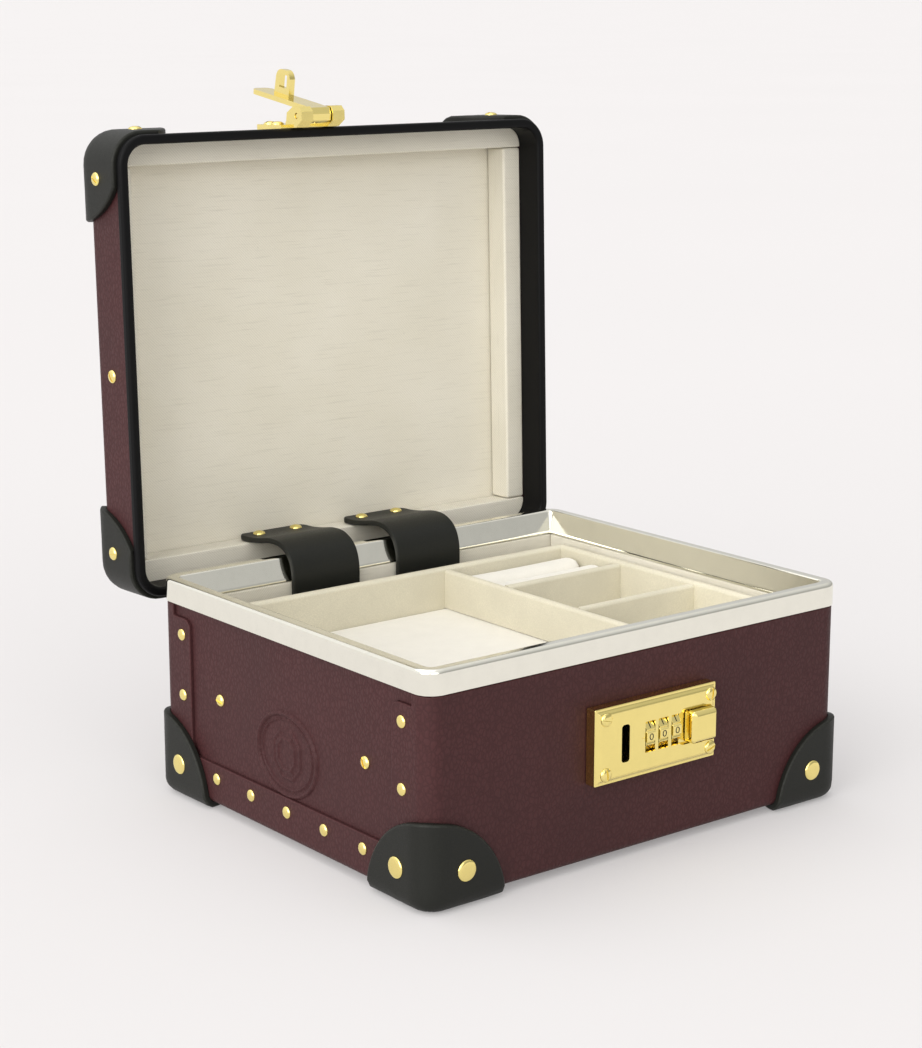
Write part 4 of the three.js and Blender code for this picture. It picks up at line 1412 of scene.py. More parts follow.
@dataclass
class BaseShell:
    """The fibre base with its end panels, rivets, leather corners, rim and lined boards."""

    flaps: EndFlaps = EndFlaps()
    emblem: Emblem = Emblem()
    edge: float = 3.0
    wall: float = 2.2
    corner: float = 7.0
    panel_drop: float = 1.35
    rim_throat: float = 8.9
    rim_land: float = 4.4
    rim_bead: float = 1.7

    def __post_init__(self) -> None:
        """Reads the base's size from its packed wrap."""
        low, high = BASE.span("base_wrap")
        self.half = high.x
        self.depth = high.y - low.y
        self.top = high.z
        self.plan = Outline((-self.half, self.half), (0.0, self.depth), self.corner)

    def build(self) -> None:
        """Builds the whole base."""
        self.build_wrap()
        for side in (-1, 1):
            self.build_end(side)
        self.build_rim()
        self.build_corners()
        self.build_rivets()
        self.build_boards()

    def build_wrap(self) -> None:
        """Builds the fibre wrap: a tub with the end windows and the lock's opening cut out."""
        inner = self.wall + 0.6
        profile = [(-self.edge, 0.0)]
        profile += [(x, z) for x, z in arc((-self.edge, self.edge), self.edge, -75, 0, 5)]
        profile += [(0.0, self.top), (-self.wall, self.top), (-self.wall, inner)]
        profile += [(-inner, self.wall)]
        tub = swept(self.plan, profile, closed=False)
        reach = self.half + 10
        window = prism(self.flaps.window(self.depth, self.top + 2), (-reach, reach))
        low, high = BASE.span("lock_housing")
        opening = block((low.x - 0.3, -5, low.z - 0.3), (high.x + 0.3, 12, high.z + 0.3))
        shape = soften(carve(tub, window, opening), 0.45, 3)
        add_piece("fibre_wrap", shape, BASE, BURGUNDY, ["base_wrap"])

    def build_end(self, side: int) -> None:
        """Builds an end panel, with the emblem stamped into the left one.

        Args:
            side: -1 for the left end and 1 for the right.
        """
        name = "left" if side < 0 else "right"
        margin = 2.0
        front, back = self.flaps.strip - margin, self.depth - self.flaps.strip + margin
        low, high = self.flaps.foot - margin, self.top
        ys = [front, 40.0, *self.fine(self.emblem.centre[0], self.emblem.half[0]), 130.0, back]
        zs = [low, *self.fine(self.emblem.centre[1], self.emblem.half[1]), 60.0, high]
        face = self.half - self.panel_drop
        inner = BASE.span("base_end_left")[1].x
        points = []
        for y in ys:
            for z in zs:
                raised = self.emblem.height(y, z) if side < 0 else 0.0
                points.append((side * (face + raised), y, z))
        tall = len(zs)
        faces = []
        for i in range(len(ys) - 1):
            for j in range(tall - 1):
                a = i * tall + j
                faces.append((a, a + tall, a + tall + 1, a + 1))
        last = (len(ys) - 1) * tall
        ring = [i * tall for i in range(len(ys))]
        ring += [last + j for j in range(1, tall)]
        ring += [i * tall + tall - 1 for i in range(len(ys) - 2, -1, -1)]
        ring += list(range(tall - 2, 0, -1))
        start = len(points)
        for i in ring:
            points.append((side * abs(inner), points[i][1], points[i][2]))
        count = len(ring)
        for i in range(count):
            j = (i + 1) % count
            faces.append((ring[i], ring[j], start + j, start + i))
        faces.append([start + i for i in range(count)])
        slab = shape_from(points, faces)
        reach = self.half + 10
        keep = prism(self.flaps.window(self.depth, self.top + 2, 0.12), (-reach, reach))
        shape = carve(slab, keep, operation="INTERSECT")
        add_piece(f"end_panel_{name}", shape, BASE, BURGUNDY, [f"base_end_{name}"])

    def fine(self, middle: float, half: float, step: float = 0.4) -> list[float]:
        """Gives closely spaced lines across the emblem."""
        count = round(2 * (half + 1) / step)
        return [middle - half - 1 + step * i for i in range(count + 1)]

    def build_rim(self) -> None:
        """Builds the rim: a flat band with a rolled edge, and a face sloping in to the liner."""
        low, high = BASE.span("rim")
        outline = Outline((low.x, high.x), (low.y, high.y), self.corner + high.x - self.half)
        bead, land, throat = self.rim_bead, self.rim_land, self.rim_throat
        slope = 0.8
        profile = [(-0.25, low.z), (0.0, low.z + 0.25), (0.0, high.z - bead)]
        profile += arc((-bead, high.z - bead), bead, 15, 90, 6)
        profile += [(-land + slope, high.z - 0.05)]
        profile += arc((-land + 0.3, high.z - 1.3), 1.25, 90, 152, 5)
        profile += [(-throat + 0.35, low.z + 1.4), (-throat, low.z + 0.9), (-throat, low.z)]
        add_piece("metal_rim", swept(outline, profile), BASE, NICKEL, ["rim"], sharp=50)

    def build_corners(self) -> None:
        """Builds the four leather corners of the base."""
        for x in (-1, 1):
            for y, wall in ((0.0, 1), (self.depth, -1)):
                corner = LeatherCorner((x * self.half, y, 0.0), (-x, wall, 1), self.corner, self.edge)
                name = f"{'front' if wall > 0 else 'back'}_{'left' if x < 0 else 'right'}"
                node = f"base_corner_{name}"
                add_piece(f"foot_corner_{name}", corner.build(), BASE, BLACK_HIDE, [node])

    def build_rivets(self) -> None:
        """Sets the rivets of the flaps and corners, and the screws of the end panels."""
        flap_rivets, screws, corner_rivets = [], [], []
        inset, level = 14.8, 11.5  # the corners' rivets, from the box's edges
        side_levels = (39.2, 63.4)
        foot_line, foot_level, foot_count = (37.5, 132.3), 11.0, 5
        panel_line, panel_level = (37.2, 130.4), 42.6
        for side in (-1, 1):
            facing = (side, 0, 0)
            outer = side * self.half
            for y in (14.5, self.depth - 15):
                flap_rivets += [Spot((outer, y, z), facing) for z in side_levels]
            first, last = foot_line
            for step in range(foot_count):
                y = first + (last - first) * step / (foot_count - 1)
                flap_rivets.append(Spot((outer, y, foot_level), facing))
            panel = side * (self.half - self.panel_drop)
            for index, y in enumerate(panel_line):
                screws.append(Spot((panel, y, panel_level), facing, 25 + 50 * index))
            for y, wall in ((0.0, -1), (self.depth, 1)):
                along = y - wall * inset
                stand = self.half + LEATHER
                corner_rivets.append(Spot((side * stand, along, level), facing))
                across = side * (self.half - inset)
                corner_rivets.append(Spot((across, y + wall * LEATHER, level), (0, wall, 0)))
        add_heads("flap_rivets", HeadKind.FLAP_RIVET, flap_rivets, BASE, GOLD)
        add_heads("panel_screws", HeadKind.PANEL_SCREW, screws, BASE, GOLD)
        add_heads("foot_corner_rivets", HeadKind.CORNER_RIVET, corner_rivets, BASE, GOLD)

    def build_boards(self) -> None:
        """Rounds the edges of the linen covered boards inside the base."""
        for part in ("floor", "liner_front", "liner_back", "liner_left", "liner_right"):
            node = f"base_{part}"
            shape = soften(cad_shape(node, BASE), 0.7, 3)
            add_piece(f"linen_{part}", shape, BASE, LINEN, [node])
        for side in ("left", "right"):
            node = f"tray_ledge_{side}"
            shape = soften(cad_shape(node, BASE), 0.9, 3)
            add_piece(f"linen_ledge_{side}", shape, BASE, LINEN, [node])


# ------------------------------------------------------------------ tray
@dataclass
class LiftOutTray:
    """The tray: a leather covered body, dividers, a suede pad and two ring rolls."""

    wall: float = 4.0
    corner: float = 3.0
    lip: float = 1.7

    def build(self) -> None:
        """Builds the whole tray."""
        self.build_body()
        self.build_dividers()
        self.build_pad()
        for index in (1, 2):
            self.build_roll(index)

    def build_body(self) -> None:
        """Builds the body: walls with rounded tops round a flat floor."""
        low, high = TRAY.span("tray_body")
        floor = TRAY.span("tray_floor_pad")[0].z - 0.1
        outline = Outline((low.x, high.x), (low.y, high.y), self.corner, steps=6)
        top = high.z - self.lip
        profile = [(-1.0, low.z), (-0.3, low.z + 0.3), (0.0, low.z + 1.0), (0.0, top)]
        profile += arc((-self.lip, top), self.lip, 18, 90, 5)
        profile += arc((-self.wall + self.lip, top), self.lip, 90, 162, 5)
        profile += [(-self.wall, top), (-self.wall, floor + 0.5), (-self.wall - 0.5, floor)]
        shape = swept(outline, profile, closed=False)
        add_piece("tray_walls", shape, TRAY, CREAM_HIDE, ["tray_body"], sharp=50)

    def build_dividers(self) -> None:
        """Builds the dividers with rounded tops, butted against the walls."""
        for part in ("long", "cross_1", "cross_2"):
            node = f"tray_divider_{part}"
            low, high = TRAY.span(node)
            slack = 0.25
            along = 1 if part == "long" else 0
            low[along] -= slack
            high[along] += slack
            half = (high[1 - along] - low[1 - along]) / 2 - 0.15
            shape = block(low, high)
            upper = [
                e
                for e in shape.edges
                if all(v.co.z > high.z - 0.01 for v in e.verts)
                and abs(e.verts[0].co[along] - e.verts[1].co[along]) > 10
            ]
            bmesh.ops.bevel(shape, geom=upper, offset=half, segments=6, profile=0.5, affect="EDGES")
            add_piece(f"divider_{part}", shape, TRAY, CREAM_HIDE, [node], sharp=50)

    def build_pad(self) -> None:
        """Builds the suede pad, slightly crowned between its edges."""
        low, high = TRAY.span("tray_floor_pad")
        outline = Outline((low.x, high.x), (low.y, high.y), 0.6, steps=4)
        profile = [(-0.2, low.z), (0.0, low.z + 0.2), (0.0, high.z - 0.35)]
        profile += arc((-0.35, high.z - 0.35), 0.35, 30, 90, 2)
        profile += [(-4.0, high.z)]
        shape = swept(outline, profile, closed=False)
        add_piece("suede_floor", shape, TRAY, SUEDE, ["tray_floor_pad"])

    def build_roll(self, index: int) -> None:
        """Builds a ring roll by inflating its cover over the foam.

        Args:
            index: 1 for the front roll and 2 for the back one.
        """
        low, high = TRAY.span(f"ring_roll_{index}")
        swell = 0.5
        y0, y1 = low.y + swell, high.y - swell
        crown = (y1 - y0) / 2
        top = high.z - swell
        outline = [(y0, low.z), (y1, low.z), (y1, top - crown)]
        outline += arc(((y0 + y1) / 2, top - crown), crown, 15, 180, 11)
        shape = soften(prism(outline, (low.x + swell, high.x - swell)), 0.8, 2, angle=60)
        piece_shape = puffed(shape, voxel=1.5, pressure=4.0, cap=0.9, floor=low.z)
        piece = add_piece(f"ring_roll_pad_{index}", piece_shape, TRAY, SUEDE, [f"ring_roll_{index}"])


def puffed(shape: Shape, voxel: float, pressure: float, cap: float, floor: float) -> Shape:
    """Blows a cover up over its filling with the cloth solver, and keeps the result.

    Args:
        shape: The closed cover, in millimetres.
        voxel: The size of the remeshed faces.
        pressure: How hard it is blown up.
        cap: The furthest that a point may move.
        floor: The height that the pad rests on, which it doesn't go below.

    Returns:
        The padded shape, in the same millimetres.
    """
    enlarge = 0.01  # a hundredth of a metre for a millimetre, a scale that the solver likes
    mesh = bpy.data.meshes.new("cover")
    move(shape, Matrix.Scale(enlarge, 4))
    shape.to_mesh(mesh)
    shape.free()
    cover = placed("cover", mesh)
    remesh = cover.modifiers.new("remesh", "REMESH")
    remesh.mode = "VOXEL"
    remesh.voxel_size = voxel * enlarge
    even = plain_mesh(cover)
    rest = np.empty(len(even.vertices) * 3)
    even.vertices.foreach_get("co", rest)
    rest = rest.reshape(-1, 3)
    blown = rest
    sack = placed("sack", even.copy())
    cloth = sack.modifiers.new("cloth", "CLOTH")
    cloth.settings.use_pressure = True
    cloth.settings.uniform_pressure_force = pressure
    cloth.settings.effector_weights.gravity = 0.0
    cloth.settings.mass = 0.3
    cloth.settings.tension_stiffness = 15.0
    cloth.settings.compression_stiffness = 15.0
    cloth.point_cache.frame_start = 1
    cloth.point_cache.frame_end = 20
    for step in range(1, 21):
        bpy.context.scene.frame_set(step)
    graph = bpy.context.evaluated_depsgraph_get()
    end = sack.evaluated_get(graph).data
    blown = np.empty(len(end.vertices) * 3)
    end.vertices.foreach_get("co", blown)
    blown = blown.reshape(-1, 3)
    bpy.data.objects.remove(sack)
    bpy.context.scene.frame_set(1)
    moved = blown - rest
    length = np.linalg.norm(moved, axis=1, keepdims=True)
    keep = np.minimum(1.0, cap * enlarge / np.maximum(length, 1e-9))
    settled = rest + moved * keep
    settled[:, 2] = np.maximum(settled[:, 2], floor * enlarge)
    even.vertices.foreach_set("co", settled.ravel())
    result = bmesh.new()
    result.from_mesh(even)
    move(result, Matrix.Scale(1 / enlarge, 4))
    bmesh.ops.smooth_vert(
        result, verts=result.verts, factor=0.5, use_axis_x=True, use_axis_y=True, use_axis_z=True
    )
    bmesh.ops.subdivide_edges(result, edges=result.edges, cuts=1, smooth=0.0, use_grid_fill=True)
    for _ in range(2):
        bmesh.ops.smooth_vert(
            result, verts=result.verts, factor=0.5, use_axis_x=True, use_axis_y=True, use_axis_z=True
        )
    return result


# ------------------------------------------------------------------ lock
def face_forward(shape: Shape) -> Shape:
    """Turns a shape that was laid out flat, in x and z with its height up, to face forwards."""
    move(shape, Matrix.Rotation(math.pi / 2, 4, "X"))
    return shape


def joined(*shapes: Shape) -> Shape:
    """Puts shapes together as one, without merging them.

    Args:
        shapes: The shapes, which are all used up but the first.

    Returns:
        The first shape, with the others added.
    """
    first = shapes[0]
    for other in shapes[1:]:
        mesh = mesh_from("other", other)
        first.from_mesh(mesh)
        bpy.data.meshes.remove(mesh)
    return first


@dataclass
class ComboLock:
    """The combination lock: plate, screws, number wheels, slide button, and the box behind."""

    step: float = 1.0
    border: float = 2.4
    slot_x: float = -15.6
    slot_width: float = 3.8
    slot_z: Pair = (36.7, 50.7)
    middle: float = 44.0
    window: float = 5.8
    pocket: float = 7.8
    pocket_depth: float = 4.6
    stem_x: Pair = (17.4, 23.4)
    stem_half: float = 2.5
    gap: float = 0.3
    travel: float = 3.0
    clear: float = 0.4
    scoop: float = 1.4
    apothem: float = 7.12
    figure_size: float = 3.6
    figure_stretch: float = 1.3

    def __post_init__(self) -> None:
        """Reads the places of the plate, the wheels and the button."""
        self.low, self.high = BASE.span("lock_plate")
        self.wheels = [Seat(f"wheel_{i}", BASE.place) for i in (1, 2, 3)]
        self.button = BUTTON.span("lock_button")

    def build(self) -> None:
        """Builds the whole lock."""
        self.build_plate()
        self.build_screws()
        self.build_wheels()
        self.build_button()
        self.build_box()

    def build_plate(self) -> None:
        """Builds the plate: a moulded border round a flat face with its openings."""
        low, high = self.low, self.high
        edge, face = -low.y - self.step, -low.y
        outline = Outline((low.x, high.x), (low.z, high.z), 0.5, steps=3, support=0.3)
        profile = [(-0.2, -high.y), (0.0, 0.2 - high.y), (0.0, edge - 0.3)]
        profile += arc((-0.3, edge - 0.3), 0.3, 25, 90, 3)
        start, steps = 0.75, 8
        for i in range(steps + 1):
            share = i / steps
            rise = share * share * (3 - 2 * share)
            inset = start + (self.border - start) * share
            profile.append((-inset, edge + (self.step - 0.12) * rise))
        profile += [(-self.border - 0.1, face)]
        plate = swept(outline, profile, closed=False)
        half = self.slot_width / 2
        slot_plan = Outline((self.slot_x - half, self.slot_x + half), self.slot_z, 1.2, 5, 0.1)
        cutters = [swept(slot_plan, [(0, -2), (0, 9)], closed=False)]
        for seat in self.wheels:
            left, right = seat.span(f"lock_{seat.body}")
            ends = (left.x - 0.3, right.x + 0.3)
            lows = (ends[0], self.middle - self.window, -2)
            cutters.append(block(lows, (ends[1], self.middle + self.window, 9)))
            lows = (ends[0], self.middle - self.pocket, -2)
            cutters.append(block(lows, (ends[1], self.middle + self.pocket, self.pocket_depth)))
        left, right = self.button
        stem_low = (self.stem_x[0] - self.travel - self.gap, self.middle - self.stem_half - self.gap, -2)
        stem_high = (self.stem_x[1] + self.gap, self.middle + self.stem_half + self.gap, 9)
        cutters.append(block(stem_low, stem_high))
        scoop_x = (left.x - self.travel - self.clear, right.x + self.clear)
        scoop_z = (left.z - self.clear, right.z + self.clear)
        scoop_plan = Outline(scoop_x, scoop_z, 1.8, 6, 0.1)
        deep = face - self.scoop
        cutters.append(swept(scoop_plan, [(0, deep), (0, 9)], closed=False))
        x = self.wheels[0].span("lock_wheel_1")[0].x - 1.9
        cutters.append(block((x, self.middle - 0.16, face - 0.25), (x + 1.2, self.middle + 0.16, 9)))
        shape = soften(carve(plate, *cutters), 0.14, 2, angle=32)
        add_piece("lock_face", face_forward(shape), BASE, GOLD, ["lock_plate"])

    def build_screws(self) -> None:
        """Sets the four slotted screws at the plate's corners."""
        spots, nodes = [], []
        for index in range(1, 5):
            low, high = BASE.span(f"lock_screw_{index}")
            centre = (low + high) / 2
            turn = (96, 168, 20, 84)[index - 1]
            spots.append(Spot((centre.x, self.low.y, centre.z), (0, -1, 0), turn))
            nodes.append(f"lock_screw_{index}")
        add_heads("lock_screws", HeadKind.LOCK_SCREW, spots, BASE, GOLD, nodes)

    def build_wheels(self) -> None:
        """Builds the number wheels, with ten flats and a figure on each."""
        for seat in self.wheels:
            node = f"lock_{seat.body}"
            low, high = seat.span(node)
            axis = ((low.y + high.y) / 2, (low.z + high.z) / 2)
            outline = []
            for flat in range(10):
                at = 36 * flat
                for turn, reach in ((-13.2, self.apothem), (13.2, self.apothem)):
                    angle = math.radians(at + turn)
                    radius = reach / math.cos(math.radians(turn))
                    outline.append(self.on_wheel(axis, radius, angle))
                outline.append(self.on_wheel(axis, self.apothem - 0.35, math.radians(at + 18)))
            drum = soften(prism(outline, (low.x, high.x)), 0.18, 2, angle=25)
            add_piece(f"number_{seat.body}", drum, seat, GOLD, [node])
            figures = [self.figure(k, (low.x + high.x) / 2, axis) for k in range(10)]
            add_piece(f"figures_{seat.body}", joined(*figures), seat, INK)

    def on_wheel(self, axis: Pair, radius: float, angle: float) -> Pair:
        """Gives a point about a wheel's axis, where an angle of zero points forwards."""
        return (axis[0] - radius * math.cos(angle), axis[1] + radius * math.sin(angle))

    def figure(self, number: int, x: float, axis: Pair) -> Shape:
        """Builds one figure, filled in on its flat.

        Args:
            number: The figure, which also says which flat it is on.
            x: The middle of the wheel.
            axis: The wheel's axis in y and z.

        Returns:
            The figure's shape.
        """
        curve = bpy.data.curves.new("figure", "FONT")
        curve.body = str(number)
        curve.size = self.figure_size
        curve.extrude = 0.06
        curve.align_x = "CENTER"
        curve.align_y = "CENTER"
        curve.resolution_u = 3
        holder = placed("figure", curve)
        mesh = plain_mesh(holder)
        shape = bmesh.new()
        shape.from_mesh(mesh)
        bmesh.ops.scale(shape, vec=(self.figure_stretch, 1.0, 1.0), verts=shape.verts)
        rise = (min(v.co.y for v in shape.verts) + max(v.co.y for v in shape.verts)) / 2
        bmesh.ops.translate(shape, vec=(0, -rise, self.apothem - 0.03), verts=shape.verts)
        face_forward(shape)
        turn = Matrix.Rotation(math.radians(-36 * number), 4, "X")
        place = Matrix.Translation((x, axis[0], axis[1])) @ turn
        move(shape, place)
        return shape

    def build_button(self) -> None:
        """Builds the slide button, its stem and the bolt behind."""
        low, high = self.button
        outline = Outline((low.x, high.x), (low.z, high.z), 1.6, 6, 0.3)
        top, foot = -low.y, self.scoop_floor()
        profile = [(-0.2, foot), (0.0, foot + 0.2), (0.0, top - 1.75)]
        profile += [(-0.12, top - 1.4), (-0.42, top - 1.0), (-1.25, top - 0.28), (-1.6, top - 0.08)]
        profile += [(-2.0, top)]
        head = swept(outline, profile, closed=False)
        stem_low = (self.stem_x[0], self.middle - self.stem_half, -1.4)
        stem_high = (self.stem_x[1], self.middle + self.stem_half, foot + 0.5)
        stem = block(stem_low, stem_high)
        shape = face_forward(soften(carve(head, stem, operation="UNION"), 0.12, 2, angle=40))
        add_piece("slide_button", shape, BUTTON, GOLD, ["lock_button"])
        bolt = soften(cad_shape("lock_bolt", BUTTON), 0.2, 2)
        add_piece("slide_bolt", bolt, BUTTON, GOLD, ["lock_bolt"])

    def scoop_floor(self) -> float:
        """Gives the height of the button's underside, just off the scoop's floor."""
        return -self.low.y - self.scoop + 0.3

    def build_box(self) -> None:
        """Rounds the edges of the sheet box and its axle."""
        add_piece("lock_box", soften(cad_shape("lock_housing", BASE), 0.2, 2), BASE, INK, ["lock_housing"])
        add_piece("lock_rod", soften(cad_shape("lock_axle", BASE), 0.2, 2), BASE, NICKEL, ["lock_axle"])


# ------------------------------------------------------------------ lid
@dataclass
class LidShell:
    """The lid: fibre shell, leather binding and corners, linen boards, rivets and hinges."""

    corner: float = 10.6
    trim_inside: float = 2.7
    trim_flange: float = 3.2
    trim_round: float = 1.25
    leaf: float = 1.5
    gap: float = 0.3
    edge: float = 5.0
    wall: float = 1.6
    roof: float = 2.0
    rivet_in: float = 15.5
    rivet_down: float = 12.0
    side_rivet: Pair = (88.0, 13.0)

    def __post_init__(self) -> None:
        """Reads the lid's size from its packed shell."""
        self.low, self.high = LID.span("lid_shell")
        low, high = self.low, self.high
        self.plan = Outline((low.x, high.x), (low.y, high.y), self.corner)

    def build(self) -> None:
        """Builds the whole lid."""
        self.build_shell()
        self.build_binding()
        self.build_boards()
        self.build_corners()
        self.build_rivets()
        self.build_hinges()

    def build_shell(self) -> None:
        """Builds the fibre shell: walls and top, with a round upper edge."""
        low, high = self.low.z, self.high.z
        ceiling = high - self.roof
        profile = [(-self.wall - 0.6, ceiling), (-self.wall, ceiling - 0.6), (-self.wall, low)]
        profile += [(0.0, low), (0.0, high - self.edge)]
        profile += arc((-self.edge, high - self.edge), self.edge, 15, 90, 5)
        add_piece("lid_fibre", swept(self.plan, profile, closed=False), LID, BURGUNDY, ["lid_shell"])

    def build_binding(self) -> None:
        """Builds the binding: a rounded lip with a flange outside and a deep band inside."""
        low, high = LID.span("lid_trim")
        proud = high.x - self.high.x
        skin, depth = -self.trim_inside, high.z
        flange = low.z + self.trim_flange
        bend = self.trim_round
        lip = low.z + bend
        profile = [(0.3, flange), (proud - 0.5, flange)]
        profile += arc((proud - 0.5, flange - 0.5), 0.5, 60, 0, 2)
        profile += arc((proud - bend, lip), bend, 0, -90, 6)
        profile += arc((skin + bend, lip), bend, -90, -180, 6)
        profile += [(skin, depth - 0.4), (skin + 0.3, depth), (-1.9, depth)]
        profile += [(-1.9, low.z + 2.4), (0.3, low.z + 2.4)]
        add_piece("lid_binding", swept(self.plan, profile), LID, BINDING, ["lid_trim"], sharp=50)

    def build_boards(self) -> None:
        """Rounds the edges of the linen covered boards and panel."""
        for part, width in (("front", 1.1), ("back", 1.1), ("left", 1.1), ("right", 1.1)):
            node = f"lid_liner_{part}"
            add_piece(f"lid_board_{part}", soften(cad_shape(node, LID), width, 4), LID, LINEN, [node])
        panel = soften(cad_shape("lid_panel", LID), 0.35, 2)
        add_piece("lid_back_panel", panel, LID, LINEN, ["lid_panel"])

    def build_corners(self) -> None:
        """Builds the four leather corners of the lid."""
        low, high = self.low, self.high
        limit = high.z - LID.span("lid_corner_front_left")[0].z
        for x in (-1, 1):
            for y, wall in ((low.y, 1), (high.y, -1)):
                vertex = (x * high.x, y, high.z)
                corner = LeatherCorner(vertex, (-x, wall, -1), self.corner, self.edge, limit=limit)
                name = f"{'front' if wall > 0 else 'back'}_{'left' if x < 0 else 'right'}"
                node = f"lid_corner_{name}"
                add_piece(f"lid_leather_{name}", corner.build(), LID, BLACK_HIDE, [node])

    def build_rivets(self) -> None:
        """Sets the screws of the corners and the rivets halfway along the sides."""
        low, high = self.low, self.high
        screws, rivets = [], []
        level = high.z - self.rivet_down
        turn = 15
        for side in (-1, 1):
            for y, wall in ((low.y, -1), (high.y, 1)):
                turn += 40
                along = y - wall * self.rivet_in
                across = side * (high.x - self.rivet_in)
                stand = side * (high.x + LEATHER)
                screws.append(Spot((stand, along, level), (side, 0, 0), turn))
                stand = y + wall * LEATHER
                screws.append(Spot((across, stand, level), (0, wall, 0), turn + 65))
            middle, down = self.side_rivet
            rivets.append(Spot((side * high.x, middle, high.z - down), (side, 0, 0), 35))
        add_heads("lid_corner_screws", HeadKind.LID_SCREW, screws, LID, GOLD)
        add_heads("lid_side_rivets", HeadKind.LID_SCREW, rivets, LID, GOLD)

    def build_hinges(self) -> None:
        """Rounds the edges of the hinges' leaves, and sets their screws."""
        base_screws, lid_screws = [], []
        for side in ("left", "right"):
            for part, seat in (("base", BASE), ("lid", LID), ("pin", BASE)):
                node = f"hinge_{side}_{part}"
                shape = soften(cad_shape(node, seat), 0.25, 2, angle=32)
                add_piece(f"leaf_{side}_{part}", shape, seat, NICKEL, [node])
            low, high = BASE.span(f"hinge_{side}_base")
            wall = low.y + self.leaf
            for x in (low.x + 4.5, high.x - 4.5):
                base_screws.append(Spot((x, wall, low.z + 5.5), (0, 1, 0), 30 + x))
            low, high = LID.span(f"hinge_{side}_lid")
            face = self.high.y + self.gap + self.leaf
            for x in (low.x + 4.5, high.x - 4.5):
                lid_screws.append(Spot((x, face, high.z - 5.5), (0, 1, 0), 70 + x))
        add_heads("hinge_base_screws", HeadKind.HINGE_SCREW, base_screws, BASE, NICKEL)
        add_heads("hinge_lid_screws", HeadKind.HINGE_SCREW, lid_screws, LID, NICKEL)


# ------------------------------------------------------------------ hasp
@dataclass
class Hasp:
    """The hasp: a bracket screwed to the lid, a pin, and the leaf with its staple."""

    soft: float = 0.45
    plate: float = 2.2
    gap: float = 0.3
    screws: Pair = (9.6, 5.2)

    def build(self) -> None:
        """Builds the bracket, the pin and the leaf."""
        bracket = soften(cad_shape("hasp_bracket", LID), self.soft, 3, angle=25)
        add_piece("hasp_knuckles", bracket, LID, GOLD, ["hasp_bracket"])
        pin = soften(cad_shape("hasp_pin", LID), 0.3, 2, angle=50)
        add_piece("hasp_rod", pin, LID, GOLD, ["hasp_pin"])
        leaf = soften(cad_shape("hasp_leaf", HASP), self.soft, 3, angle=25)
        add_piece("hasp_leaf_staple", leaf, HASP, GOLD, ["hasp_leaf"])
        low, high = LID.span("hasp_bracket")
        middle = (low.x + high.x) / 2
        plate = self.plate_face()
        across, up = self.screws
        spots = []
        for x in (middle - across, middle + across):
            for z in (high.z - 3.6, high.z - 3.6 - up):
                spots.append(Spot((x, plate, z), (0, -1, 0), 3 * x + 5 * z))
        add_heads("hasp_screws", HeadKind.LID_SCREW, spots, LID, GOLD)

    def plate_face(self) -> float:
        """Gives the front of the bracket's plate."""
        return LID.span("lid_shell")[0].y - self.gap - self.plate


# ------------------------------------------------------------------ straps
def bend_tree() -> bpy.types.NodeTree:
    """Builds the tree that lays a flat blank along a route, with its own y as the way along.

    Returns:
        The tree. Blank and route are in the same units.
    """
    name = "Blank along a route"
    if name in bpy.data.node_groups:
        return bpy.data.node_groups[name]
    tree = bpy.data.node_groups.new(name, "GeometryNodeTree")
    tree.interface.new_socket("Blank", in_out="INPUT", socket_type="NodeSocketGeometry")
    tree.interface.new_socket("Route", in_out="INPUT", socket_type="NodeSocketObject")
    tree.interface.new_socket("Across", in_out="INPUT", socket_type=FLOAT)
    tree.interface.new_socket("Finish", in_out="INPUT", socket_type="NodeSocketMaterial")
    tree.interface.new_socket("Strap", in_out="OUTPUT", socket_type="NodeSocketGeometry")
    sheet = NodeSheet(tree)
    given = sheet.add("NodeGroupInput").outputs
    route = sheet.add("GeometryNodeObjectInfo", {0: given["Route"]})
    curve = sheet.add("GeometryNodeMeshToCurve", {0: route.outputs["Geometry"]})
    spline = sheet.add(
        "GeometryNodeCurveSplineType", {0: curve.outputs[0]}, spline_type="CATMULL_ROM"
    )
    fine = sheet.add("GeometryNodeResampleCurve", {"Curve": spline.outputs[0], "Count": 240})
    split = sheet.add("ShaderNodeSeparateXYZ", {0: sheet.add("GeometryNodeInputPosition").outputs[0]})
    x, y, z = split.outputs
    along = sheet.add("GeometryNodeSampleCurve", {"Curves": fine.outputs[0]}, mode="LENGTH")
    sheet.feed(along.inputs["Length"], y)
    side = (1.0, 0.0, 0.0)
    normal = sheet.add(
        "ShaderNodeVectorMath", {0: side, 1: along.outputs["Tangent"]}, operation="CROSS_PRODUCT"
    )
    lifted = sheet.add(
        "ShaderNodeVectorMath", {0: normal.outputs[0], "Scale": z}, operation="SCALE"
    )
    where = sheet.add(
        "ShaderNodeVectorMath", {0: along.outputs["Position"], 1: lifted.outputs[0]}, operation="ADD"
    )
    shift = sheet.add("ShaderNodeCombineXYZ", {0: sheet.math("ADD", x, given["Across"])})
    final = sheet.add(
        "ShaderNodeVectorMath", {0: where.outputs[0], 1: shift.outputs[0]}, operation="ADD"
    )
    bent = sheet.add(
        "GeometryNodeSetPosition", {"Geometry": given["Blank"], "Position": final.outputs[0]}
    )
    real = sheet.add("GeometryNodeRealizeInstances", {0: bent.outputs[0]})
    coated = sheet.add(
        "GeometryNodeSetMaterial", {"Geometry": real.outputs[0], "Material": given["Finish"]}
    )
    result = sheet.add("NodeGroupOutput")
    sheet.feed(result.inputs[0], coated.outputs[0])
    return tree


